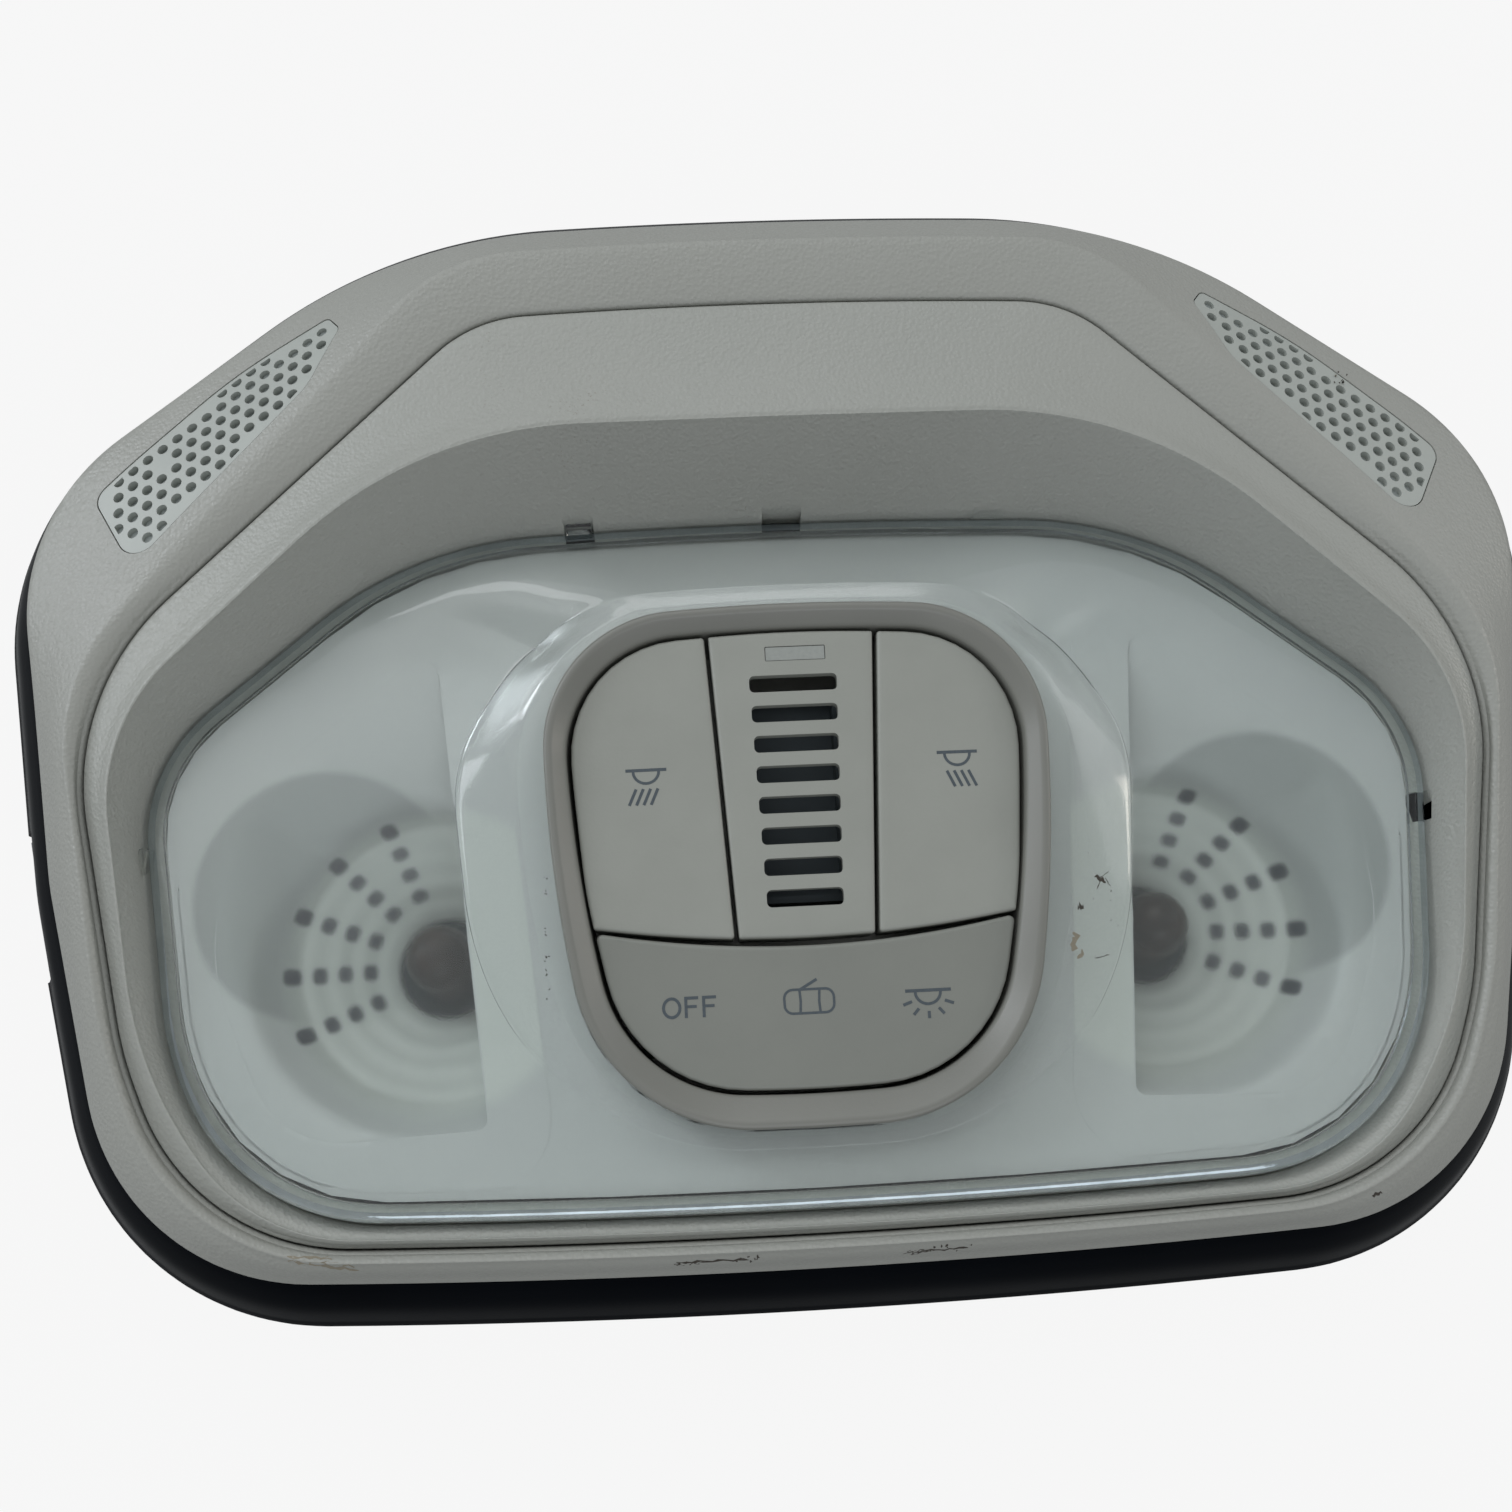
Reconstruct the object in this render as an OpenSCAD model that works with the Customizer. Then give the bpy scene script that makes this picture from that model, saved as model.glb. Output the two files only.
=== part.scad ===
// Car dome light: overhead courtesy lamp with two map lamps, push keys and a three-way rocker.
// Seen from inside the car: X to the right, Y to the top of the picture, Z towards the passenger.
// The rear of the black housing, which faces the roof, is the plane Z = 0.

/* [Trim] */
// Width of the trim bezel between its shoulder corners
trim_w = 232; // [226:1:246]
// Depth of the trim bezel between its top and bottom corner lines
trim_d = 163.7; // [158:1:172]
// Width of the straight top side
top_w = 118; // [110:1:124]
// Drop of the shoulder corners below the top
shoulder_drop = 46.2; // [42:0.1:52]
// Height of the bezel edge above the rear plane
edge_z = 37; // [36:0.5:39]
// Height of the bezel crest above its edge
crest_rise = 6.5; // [5:0.5:8]
// Parting gap between the bezel and the inner surround
part_gap = 0.4; // [0.3:0.05:0.6]
// Wall of the bezel and the surround
trim_wall = 1.1; // [0.8:0.1:1.2]
// Height of the hood crest of the inner surround
hood_z = 45.1; // [44:0.5:47]

/* [Microphone grilles] */
// Length of each grille insert along the shoulder
grille_len = 48; // [44:1:52]
// Width of each grille insert
grille_w = 15.1; // [13:0.1:16]
// Pitch of the grille holes
grille_pitch = 2.73; // [2.5:0.01:3.2]
// Diameter of the grille holes
grille_hole_d = 1.7; // [1:0.1:1.9]
// Thickness of the grille inserts
grille_t = 1.6; // [1.2:0.1:2]
// Gap around the grille inserts
grille_gap = 0.2; // [0.15:0.05:0.4]
// Slope of the shoulder that carries the grilles
grille_tilt = 19; // [16:1:20]
// Diameter of the microphone capsules
mic_d = 7.6; // [6:0.1:8]

/* [Back frame and housing] */
// Flare of the black frame beyond the bezel edge
flare = 7.5; // [5:0.5:9]
// Height of the lower edge of the frame
frame_z = 24.4; // [22:0.2:26]
// Length of the clip notch in the side of the frame
notch_len = 23; // [18:1:28]
// Depth of the clip notch
notch_in = 1.3; // [1:0.1:1.8]
// Wall of the rear housing
wall = 2.2; // [1.8:0.1:3]
// Depth of the frame flange, where the housing ends, below the bezel edge
flange_drop = 9; // [8.6:0.1:9.5]
// Diameter of the four mounting holes
mount_d = 5.5; // [4:0.1:6.5]
// Distance of the mounting holes from the centre line
mount_x = 62; // [58:1:66]
// Height of the upper pair of mounting holes in the picture
mount_y = 24; // [20:1:27]
// Distance of the lower mounting holes from the lower wall of the housing
mount_in = 12.7; // [11:0.1:14]

/* [Lens and lamps] */
// Thickness of the lens
lens_t = 2.2; // [1.6:0.1:2.4]
// Depth of the lens side wall
lens_side = 5; // [4.4:0.1:6]
// Gap around the lens
lens_gap = 0.35; // [0.3:0.05:0.5]
// Thickness of the reflector panel
panel_t = 1.6; // [1.2:0.1:1.8]
// Distance of the lamps from the centre line
lamp_x = 54.3; // [53:0.5:57]
// Diameter of the lamp openings
lamp_d = 15.6; // [14:0.2:16]
// Depth of the lamp chambers below the panel
chamber_h = 8.8; // [7:0.2:10]
// Wall of the lamp chambers
bowl_wall = 1.6; // [1.2:0.1:2]
// Radius of the round dish in each chamber
dish_r = 20.5; // [18:0.5:22]
// Number of rows of reflector pockets round a lamp
pocket_rows = 15; // [12:1:18]
// Pitch of the rings of pockets
ring_pitch = 3.4; // [3:0.1:3.6]
// Diameter of the lamp bulbs
bulb_d = 10; // [8:0.5:11]

/* [Switches] */
// Height of the key plane
key_z = 44; // [43:0.5:45]
// Rise of the ring lip above the keys
lip_rise = 2; // [1:0.5:2.5]
// Gap round the keys
key_gap = 0.62; // [0.5:0.02:0.8]
// Top wall of the keys
key_t = 1.8; // [1.4:0.1:2.2]
// Depth of the key skirts
key_skirt = 7; // [5:0.5:8]
// Travel of the two push keys
key_travel = 1.5; // [1:0.1:1.8]
// Radius of the crown of the keys
crown_r = 900; // [600:50:1500]
// Radius of the falling flanks of the keys
flank_r = 40; // [30:1:60]
// Height of the line that ends the push keys, on the centre line
bow_y = -35.1; // [-37:0.1:-33]
// Gap between the push keys and the rocker
bow_gap = 1.1; // [0.9:0.1:1.4]
// Half width of the centre bar at its top
bar_top = 12.5; // [12:0.1:13.5]
// Half width of the centre bar at its bottom
bar_bottom = 10; // [9.5:0.1:11]
// Number of slots in the centre bar
slots = 8; // [6:1:8]
// Pitch of the slots
slot_pitch = 4.5; // [4:0.1:4.7]
// Height of a slot
slot_h = 2.5; // [2:0.1:3]
// Width of the top slot
slot_w = 12.9; // [11:0.1:14]
// Diameter of the rocker pin
pin_d = 3; // [2.5:0.1:3.5]
// Radial clearance of the pin in the rocker
pin_clear = 0.06; // [0.04:0.01:0.1]
// Height of the rocker pin
pin_z = 38.4; // [38:0.1:39]
// Thickness of the circuit board
board_t = 1.6; // [1:0.1:2]
// Thickness of the switch carrier plate
carrier_t = 2; // [1.5:0.1:2.5]
// Height of the push switches above the board
switch_h = 3.5; // [3:0.1:4]

/* [Hidden] */
eps = 0.01;

// Corners of the outlines, right half from top centre to bottom centre: x, y, corner radius
half_w = trim_w / 2;
top_y = 81.2;
low_y = top_y - trim_d;
top_x = top_w / 2;
sh_y = top_y - shoulder_drop;
edge_o = full([[0, top_y, 920], [top_x, top_y - 2, 76], [half_w, sh_y, 34.6],
    [half_w - 6.9, low_y + 60.7, 51.5], [half_w - 18.9, low_y + 4.7, 34.3], [0, low_y, 1500]]);
crest_o = full([[0, top_y - 8, 900], [top_x - 8.9, top_y - 10.2, 25.5], [half_w - 9.4, sh_y - 28.3, 29],
    [half_w - 17, low_y + 39, 60], [half_w - 28.2, low_y + 7.6, 33.5], [0, low_y + 3.7, 1500]]);
groove_o = full([[0, top_y - 17.7, 900], [top_x - 13.1, top_y - 19.6, 20.9], [half_w - 10.2, sh_y - 29.3, 36.2],
    [half_w - 19.2, low_y + 36.3, 51.1], [half_w - 29.5, low_y + 8.9, 32.5], [0, low_y + 5.2, 1500]]);
crease_o = full([[0, top_y - 38.6, 900], [top_x - 5.1, top_y - 38.9, 62], [half_w - 16.1, sh_y - 35.4, 27.2],
    [half_w - 22.4, low_y + 32.2, 55.4], [half_w - 38.9, low_y + 9.9, 27.3], [0, low_y + 6.7, 1500]]);
lens_o = full([[0, top_y - 48.9, 900], [top_x - 1.3, top_y - 51.2, 54.6], [half_w - 18.5, sh_y - 39.4, 23.4],
    [half_w - 25, low_y + 34.8, 42.4], [half_w - 37.6, low_y + 12.1, 32.3], [0, low_y + 9.1, 1500]]);
ring_o = full([[0, 14.4, 300], [37, 12.2, 20], [36.4, -14.1, 200], [34.9, -30.7, 200],
    [29.1, -60.9, 25.4], [0, -61.3, 200]]);
field_o = full([[0, 10.9, 300], [34.4, 9.1, 17.4], [33.2, -12.3, 200], [31.8, -28, 200],
    [25.8, -55.7, 20.9], [0, -56.9, 200]]);
chamber_c = [[54, 14, 3], [half_w - 31.5, -11, 9], [half_w - 30.5, -36, 30], [half_w - 41, low_y + 22, 14],
    [46, low_y + 23, 1.5]];

// Heights that follow from the named sizes
seat_z = edge_z - 2.4;
crest_z = edge_z + crest_rise;
lens_slope = -0.1;
surround_in_z = 33.2;
flange_z = edge_z - flange_drop;
carrier_z = flange_z - 1;
board_z = carrier_z - 1 - board_t;
stem_z = board_z + board_t + switch_h + key_travel + 0.6;
lamp_y = -33.6;
panel_top = -lens_t - 0.3;
panel_low = panel_top - panel_t;
floor_z = panel_low - chamber_h;
bowl_low = floor_z - 8;
skirt_z = key_z - key_skirt;
rays = 96;
pad_z = 42;
press_x = 22;
flank_x = 26;
clip_len = 20;
clip_t = 0.8;
rocker_x = 20;
rocker_y = -46.2;
ear_at = 6.8;
ear_t = 2;
housing_in = 4.6;
mount_low = low_y + 5.2 + housing_in + mount_in;
hub_half = ear_at - ear_t / 2 - 0.4;
hub_r = pin_d / 2 + 2;
key_y = -14;
screw_at = [[21, 4], [12, -54]];
grille_c = [half_w - 30.6, sh_y + 11.4, crest_z - 2.57];
grille_lean = 2.7;
grille_in = 0.45;
grille_a = -37.7;

// Outline helpers: corners are listed clockwise
function full(h) = concat(h, [for (i = [len(h) - 2:-1:1]) [-h[i].x, h[i].y, h[i].z]]);
function xy(p) = [p.x, p.y];
function unit(v) = v / norm(v);
function wrap(c, i) = c[(i + len(c)) % len(c)];
function bend(c, i) = let (p = xy(c[i])) acos(min(1, max(-1,
    unit(xy(wrap(c, i - 1)) - p) * unit(xy(wrap(c, i + 1)) - p))));
function want(c, i) = wrap(c, i).z / tan(bend(c, (i + len(c)) % len(c)) / 2);
function reach(c, i) = want(c, i) * min(1,
    norm(xy(c[i]) - xy(wrap(c, i - 1))) / (want(c, i) + want(c, i - 1)),
    norm(xy(c[i]) - xy(wrap(c, i + 1))) / (want(c, i) + want(c, i + 1)));
function arc(c, i, k) = let (p = xy(c[i]), a = unit(xy(wrap(c, i - 1)) - p), b = unit(xy(wrap(c, i + 1)) - p),
    th = bend(c, i), t = reach(c, i), r = t * tan(th / 2), m = p + unit(a + b) * r / sin(th / 2),
    s = p + a * t - m, a0 = atan2(s.y, s.x), turn = cross(b, a) > 0 ? 1 : -1)
    [for (j = [0:k]) m + r * [cos(a0 + turn * (180 - th) * j / k), sin(a0 + turn * (180 - th) * j / k)]];
function curve(c, k = 7) = [for (i = [0:len(c) - 1]) each arc(c, i, k)];
function grown(c, d) = [for (i = [0:len(c) - 1]) let (p = xy(c[i]), a = unit(xy(wrap(c, i - 1)) - p),
    b = unit(xy(wrap(c, i + 1)) - p), out = cross(b, a) < 0 ? 1 : -1,
    q = p - unit(a + b) * out * d / sin(bend(c, i) / 2)) [q.x, q.y, max(0.6, c[i].z + d)]];
function mix(a, b, t) = [for (i = [0:len(a) - 1]) a[i] * (1 - t) + b[i] * t];
// Points where rays from the middle of the light meet an outline, so that sections line up
hub = [0, -12];
function hit(q, d) = let (n = len(q)) [for (i = [0:n - 1]) let (a = q[i] - hub, b = q[(i + 1) % n] - hub,
    e = cross(a, d), f = cross(b, d)) if (e > 0 != f > 0 && (a + b) * d > 0) hub + a + (b - a) * e / (e - f)][0];
function star(c) = let (q = curve(c)) [for (i = [0:rays - 1]) let (a = 360 * (i + 0.5) / rays) hit(q, [sin(a), cos(a)])];
// A section of a shell: points at height z on the centre line, sloping with y
function at(q, z, slope = 0) = [for (p = q) [p.x, p.y, z + slope * (p.y + 2.4)]];
function lens_top(p, rise) = 35 + lens_slope * (p.y + 2.4) + rise;
function on_lens(q, rise) = [for (p = q) [p.x, p.y, lens_top(p, rise)]];
// Lens between its rim and the ring: level with the ring foot, with a crescent step at each side
function part(v) = max(0, min(1, v));
function on_pad(t, top, side, drop = 0) = let (q = mix(lens_s, foot_s, t)) [for (p = q)
    let (s = part((abs(p.x) - 24) / 14) * part((21 - p.y) / 9) * part((p.y + 64) / 16), m = top * (1 - s) + side * s)
    [p.x, p.y, lens_top(p, 0) * (1 - m) + pad_z * m - drop]];
edge_s = star(edge_o);
crest_s = star(crest_o);
groove_s = star(groove_o);
crease_s = star(crease_o);
lens_s = star(lens_o);
foot_s = star(grown(ring_o, 0.3));
function bar_half(y) = bar_bottom + (bar_top - bar_bottom) * (y + 34.8) / 44.8;

// Closed ring shell skinned through sections that have equal numbers of points
module skin(s) {
    m = len(s);
    n = len(s[0]);
    polyhedron(points = [for (a = s) each a], faces = [for (i = [0:m - 1], j = [0:n - 1])
        let (a = i * n + j, b = i * n + (j + 1) % n, c = ((i + 1) % m) * n + (j + 1) % n, d = ((i + 1) % m) * n + j)
        each [[a, c, b], [a, d, c]]]);
}

module prism(c, z0, z1, k = 4) {
    translate([0, 0, z0]) linear_extrude(height = z1 - z0) polygon(curve(c, k));
}

// Frame of the lens, panel and lamps, which lean with the hood
module optic() {
    translate([0, -2.4, 35]) rotate([atan(lens_slope), 0, 0]) translate([0, 2.4, 0]) children();
}

module sided(s) {
    if (s < 0) mirror([1, 0, 0]) children();
    else children();
}

// Frame of a microphone grille: local x runs along the shoulder, z out of it
module shoulder(s) {
    sided(s) translate(grille_c) rotate([0, 0, grille_a]) rotate([-grille_tilt, 0, 0])
        rotate([0, grille_lean, 0]) children();
}

// Outline of a grille insert, pointed towards the top of the light
function grille_c2(d) = grown([[-grille_len / 2 - 0.3, 4.1, 1.2], [-8, 6.6, 60], [grille_len / 2 - 3.1, 4, 2.8],
    [grille_len / 2 - 1.4, 4 - grille_w, 3.6], [-grille_len / 2 + 9.4, 9.55 - grille_w, 12],
    [-grille_len / 2 - 0.4, 0.15, 1.5]], d);

function inside(p, c) = let (q = curve(c, 4), n = len(q))
    min([for (i = [0:n - 1]) norm(q[(i + 1) % n] - q[i]) < 0.001 ? 99
        : -cross(unit(q[(i + 1) % n] - q[i]), p - q[i])]);

module trim_bezel() color([0.66, 0.66, 0.64]) difference() {
    skin([at(star(grown(edge_o, -0.6)), seat_z), at(edge_s, seat_z + 0.9), at(edge_s, edge_z - 0.4),
        at(star(grown(edge_o, -0.7)), edge_z + 0.6), at(mix(edge_s, crest_s, 0.55), edge_z + crest_rise * 0.63, 0.01),
        at(mix(edge_s, crest_s, 0.86), crest_z - 0.6, 0.018), at(crest_s, crest_z, 0.02),
        at(mix(crest_s, groove_s, 0.55), crest_z - 0.5, 0.025),
        at(star(grown(groove_o, part_gap / 2 + 0.5)), crest_z - 1.5, 0.032),
        at(star(grown(groove_o, part_gap / 2)), crest_z - 2.1, 0.032),
        at(star(grown(groove_o, part_gap / 2)), seat_z + 2),
        at(star(grown(groove_o, part_gap / 2 + trim_wall)), seat_z + 2),
        at(mix(edge_s, groove_s, 0.66), edge_z + 2.2), at(mix(edge_s, groove_s, 0.4), edge_z + 1.4),
        at(star(grown(edge_o, -trim_wall - 0.3)), seat_z)]);
    for (s = [-1, 1]) shoulder(s) prism(grille_c2(0), -8, 8);
}

module inner_surround() color([0.67, 0.67, 0.65])
    skin([at(star(grown(groove_o, -part_gap / 2)), seat_z + 1),
        at(star(grown(groove_o, -part_gap / 2)), crest_z - 2.1, 0.032),
        at(star(grown(groove_o, -part_gap / 2 - 0.4)), crest_z - 1.6, 0.035),
        at(mix(groove_s, crease_s, 0.6), (crest_z - 1.6 + hood_z) / 2, 0.045),
        at(crease_s, hood_z, 0.06), at(mix(crease_s, lens_s, 0.08), hood_z - 0.8, 0.055),
        at(mix(crease_s, lens_s, 0.5), (hood_z + surround_in_z) / 2 + 0.4, 0),
        at(star(grown(lens_o, lens_gap)), surround_in_z, -0.057),
        at(star(grown(lens_o, lens_gap)), surround_in_z - 1.6, -0.057),
        at(mix(crease_s, lens_s, 0.5), (hood_z + surround_in_z) / 2 - 3.4, 0),
        at(mix(groove_s, crease_s, 0.95), hood_z - 2.8, 0.05),
        at(star(grown(groove_o, -part_gap / 2 - trim_wall)), seat_z + 1)]);

// Holes in a close pattern; those on the rim are cut off by it
module grille_insert(s) color([0.62, 0.64, 0.62]) shoulder(s) difference() {
    prism(grille_c2(-grille_gap), -grille_t - grille_in, -grille_in);
    intersection() {
        prism(grille_c2(-grille_gap - 0.7), -grille_t - 2, 1);
        for (i = [-10:10], j = [-2:5])
            let (q = [(i + (j % 2 == 0 ? 0 : 0.5)) * grille_pitch, 2.85 - j * grille_pitch * sin(62)],
                p = [q.x * cos(1.8) - q.y * sin(1.8), q.x * sin(1.8) + q.y * cos(1.8)])
                if (inside(p, grille_c2(-grille_gap)) > 0.9)
                    translate([p.x, p.y, -grille_t - 2]) cylinder(d = grille_hole_d, h = grille_t + 3, $fn = 14);
    }
}

module microphone(s) color([0.15, 0.15, 0.16]) shoulder(s) translate([2, -2, -grille_t - grille_in - 4.8]) difference() {
    union() {
        cylinder(d = mic_d, h = 4.5, $fn = 48);
        translate([0, 0, -1.4]) cylinder(d = mic_d - 3, h = 1.5, $fn = 48);
    }
    translate([0, 0, 4.1]) cylinder(d = mic_d - 2.4, h = 1, $fn = 48);
}

module back_frame() color([0.08, 0.09, 0.1]) difference() {
    skin([at(star(grown(edge_o, flare)), frame_z - 1.8), at(star(grown(edge_o, flare)), frame_z),
        at(star(grown(edge_o, flare * 0.62)), frame_z + (seat_z - frame_z) * 0.5),
        at(star(grown(edge_o, flare * 0.3)), frame_z + (seat_z - frame_z) * 0.8),
        at(star(grown(edge_o, 0.4)), seat_z), at(star(grown(edge_o, -3)), seat_z),
        at(star(grown(edge_o, -3.4)), flange_z + 2.4), at(star(grown(groove_o, -8.4)), flange_z + 2.4),
        at(star(grown(groove_o, -8.4)), flange_z), at(star(grown(edge_o, 0.6)), flange_z),
        at(star(grown(edge_o, flare - 2.2)), frame_z - 1.8)]);
    for (s = [-1, 1]) lip(s) translate([-notch_in, -notch_len / 2, 19]) cube([8, notch_len, 10]);
}

// Frame of the clip notch: y runs along the lip of the frame, x out of it
module lip(s) sided(s) translate([half_w - 0.6, -23.5, 0]) rotate([0, 0, -10.1]) children();

module rear_housing() color([0.1, 0.11, 0.12]) difference() {
    union() {
        difference() {
            prism(grown(groove_o, -housing_in), 0, flange_z);
            prism(grown(groove_o, -housing_in - wall), wall, flange_z + 1);
        }
        difference() {
            prism(ring_o, wall - eps, carrier_z);
            prism(grown(ring_o, -wall), wall - 2 * eps, carrier_z + 1);
        }
        for (x = [-1, 1], q = screw_at) translate([x * q.x, q.y, wall - eps]) cylinder(d = 7, h = board_z - wall + eps, $fn = 32);
        for (x = [-1, 1], y = [mount_y, mount_low]) translate([x * mount_x, y, wall - eps])
            cylinder(d = mount_d + 5, h = 4, $fn = 48);
        for (x = [-1, 1]) translate([x * 38, 40, wall - eps]) cylinder(d = 8, h = 14, $fn = 32);
    }
    for (x = [-1, 1], y = [mount_y, mount_low]) translate([x * mount_x, y, -1]) cylinder(d = mount_d, h = 12, $fn = 48);
    translate([0, -20, 4]) cube([29, 15, 12], center = true);
    for (x = [-1, 1], q = screw_at) translate([x * q.x, q.y, board_z - 12]) cylinder(d = 3, h = 14, $fn = 32);
    for (s = [-1, 1]) optic() translate([s * lamp_x, lamp_y, bowl_low - 24]) cylinder(d = lamp_d + 12, h = 14, $fn = 64);
}

module lens() color([0.85, 0.9, 0.92, 0.45])
    skin([on_lens(lens_s, -lens_side), on_lens(lens_s, -0.7), on_lens(star(grown(lens_o, -0.7)), 0),
        on_pad(0.3, 0.3, 0.12), on_pad(0.6, 0.66, 0.24), on_pad(0.75, 0.85, 0.32), on_pad(0.8, 0.9, 0.45), on_pad(0.93, 0.98, 0.94),
        on_pad(1, 1, 1),
        on_pad(1, 1, 1, lens_t), on_pad(0.92, 0.97, 0.9, lens_t), on_pad(0.78, 0.88, 0.4, lens_t), on_pad(0.72, 0.82, 0.3, lens_t),
        on_pad(0.3, 0.3, 0.12, lens_t), on_lens(star(grown(lens_o, -2.2)), -lens_t),
        on_lens(star(grown(lens_o, -2.2)), -lens_side)]);

module chamber(s, d, z0, z1) {
    sided(s) translate([0, 0, z0]) linear_extrude(height = z1 - z0) polygon(curve(grown(chamber_c, d), 4));
}

module reflector_panel() color([0.66, 0.7, 0.7]) difference() {
    optic() prism(grown(lens_o, -2.6), panel_low, panel_top);
    translate([0, 0, 0]) prism(grown(ring_o, 0.4), 10, 60);
    for (s = [-1, 1]) optic() chamber(s, 0, panel_low - 1, panel_top + 1);
}

// Stepped funnel round a lamp, cut out of the chamber floor
module funnel() {
    r0 = lamp_d / 2;
    rotate_extrude($fn = 96) polygon(concat([[0, bowl_low - 2], [r0, bowl_low - 2], [r0, floor_z - 4.4]],
        [for (i = [0:3]) each [[r0 + 0.6 + i * ring_pitch, floor_z - 3.8 + i * 1],
            [r0 + 0.6 + i * ring_pitch + 2.6, floor_z - 3.4 + i * 1]]],
        [[r0 + 0.6 + 4 * ring_pitch, floor_z + 1], [0, floor_z + 1]]));
}

module lamp_bowl(s) color([0.78, 0.82, 0.81]) optic() difference() {
    chamber(s, bowl_wall, bowl_low, panel_low);
    chamber(s, 0, floor_z, panel_low + 1);
    sided(s) translate([lamp_x, lamp_y, 0]) funnel();
    sided(s) translate([70, -25.4, floor_z + dish_r * 1.4]) sphere(r = dish_r * sqrt(1 + 1.4 * 1.4), $fn = 96);
    sided(s) for (i = [-2:4], j = [0:3]) translate([lamp_x, lamp_y, 0]) rotate([0, 0, i * 360 / pocket_rows - 3])
        translate([lamp_d / 2 + 1.9 + j * ring_pitch, 0, floor_z - 3 + j]) cube([1.5, 1.7 + 0.25 * j, 2.6], center = true);
}

module bulb(s) color([0.95, 0.9, 0.8, 0.6]) optic() translate([s * lamp_x, lamp_y, bowl_low - 0.5]) {
    cylinder(d = bulb_d, h = 11, $fn = 48);
    translate([0, 0, 11]) sphere(d = bulb_d, $fn = 48);
}

module bulb_holder(s) color([0.2, 0.2, 0.2]) optic() translate([s * lamp_x, lamp_y, bowl_low]) difference() {
    union() {
        translate([0, 0, -3]) cylinder(d = lamp_d + 5, h = 3, $fn = 64);
        translate([0, 0, -9]) cylinder(d = lamp_d, h = 6 + eps, $fn = 64);
        cylinder(d = lamp_d - 0.6, h = 1.6, $fn = 64);
        translate([0, 0, -11]) cube([4, lamp_d - 2, 4.4], center = true);
    }
    translate([0, 0, -0.5]) cylinder(d = bulb_d, h = 3, $fn = 48);
}

module switch_ring() color([0.66, 0.67, 0.65])
    skin([at(star(ring_o), carrier_z + carrier_t), at(star(ring_o), key_z + lip_rise - 0.6),
        at(star(grown(ring_o, -0.4)), key_z + lip_rise), at(star(grown(ring_o, -1.1)), key_z + lip_rise),
        at(star(grown(field_o, 0.4)), key_z + 0.3), at(star(field_o), key_z - 0.1),
        at(star(field_o), carrier_z + carrier_t)]);

module switch_carrier() color([0.75, 0.76, 0.75]) difference() {
    union() {
        prism(grown(ring_o, -0.1), carrier_z, carrier_z + carrier_t);
        for (y = [rocker_y - ear_at, rocker_y + ear_at]) {
            translate([-pin_d, y - ear_t / 2, carrier_z]) cube([2 * pin_d, ear_t, pin_z - carrier_z]);
            translate([0, y + ear_t / 2, pin_z]) rotate([90, 0, 0]) cylinder(r = pin_d, h = ear_t, $fn = 48);
        }
    }
    for (y = [rocker_y - ear_at, rocker_y + ear_at]) translate([0, y + ear_t, pin_z]) rotate([90, 0, 0])
        cylinder(d = pin_d, h = 2 * ear_t, $fn = 48);
    for (x = [-1, 1]) {
        translate([x * press_x, key_y, carrier_z]) cube([9, 9, 8], center = true);
        translate([x * rocker_x, rocker_y, carrier_z]) cube([9, 9, 8], center = true);
    }
    for (x = [-1, 1], q = screw_at) translate([x * q.x, q.y, carrier_z - 1]) cylinder(d = 3.4, h = 6, $fn = 32);
}

// Block over the key field: c is the inset of its outline
module field(c, z0, z1) {
    prism(grown(field_o, -key_gap - c), z0, z1, 5);
}

// Everything above the bowed line that ends the keys and the bar, y0 on the centre line
function bow(y0, r) = [for (x = [-40:2.5:40]) [x, y0 + r - sqrt(r * r - x * x)]];

module above_arc(c) {
    linear_extrude(height = 60) polygon(concat(bow(bow_y + c, 177), [[40, 40], [-40, 40]]));
}

module crown(z) {
    translate([0, 60, 0]) rotate([90, 0, 0]) linear_extrude(height = 140)
        polygon(concat([for (x = [40:-2:-40]) [x, z - x * x / (2 * crown_r) - pow(max(0, abs(x) - flank_x), 2) / (2 * flank_r)]],
        [[-40, 0], [40, 0]]));
}

// Left or right push key: skirted cap with a stem over its switch
module key_block(s, c, z0, z1) intersection() {
    field(c, z0, z1);
    above_arc(c);
    sided(s) translate([0, 0, z0]) linear_extrude(height = z1 - z0) polygon([[bar_half(20) + key_gap / 2 + c, 20],
        [50, 20], [50, -45], [bar_half(-45) + key_gap / 2 + c, -45]]);
}

module push_key(s) color([0.7, 0.7, 0.68]) {
    difference() {
        intersection() {
            key_block(s, 0, skirt_z, key_z);
            crown(key_z);
        }
        key_block(s, key_t, skirt_z - 1, key_z - key_t);
    }
    translate([s * press_x - 2.5, key_y - 3, stem_z]) cube([5, 6, key_z - key_t + 0.5 - stem_z]);
}

module rocker_block(c, z0, z1) difference() {
    field(c, z0, z1);
    linear_extrude(height = 60) polygon(concat(bow(bow_y - bow_gap - c, 145), [[40, 40], [-40, 40]]));
}

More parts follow.
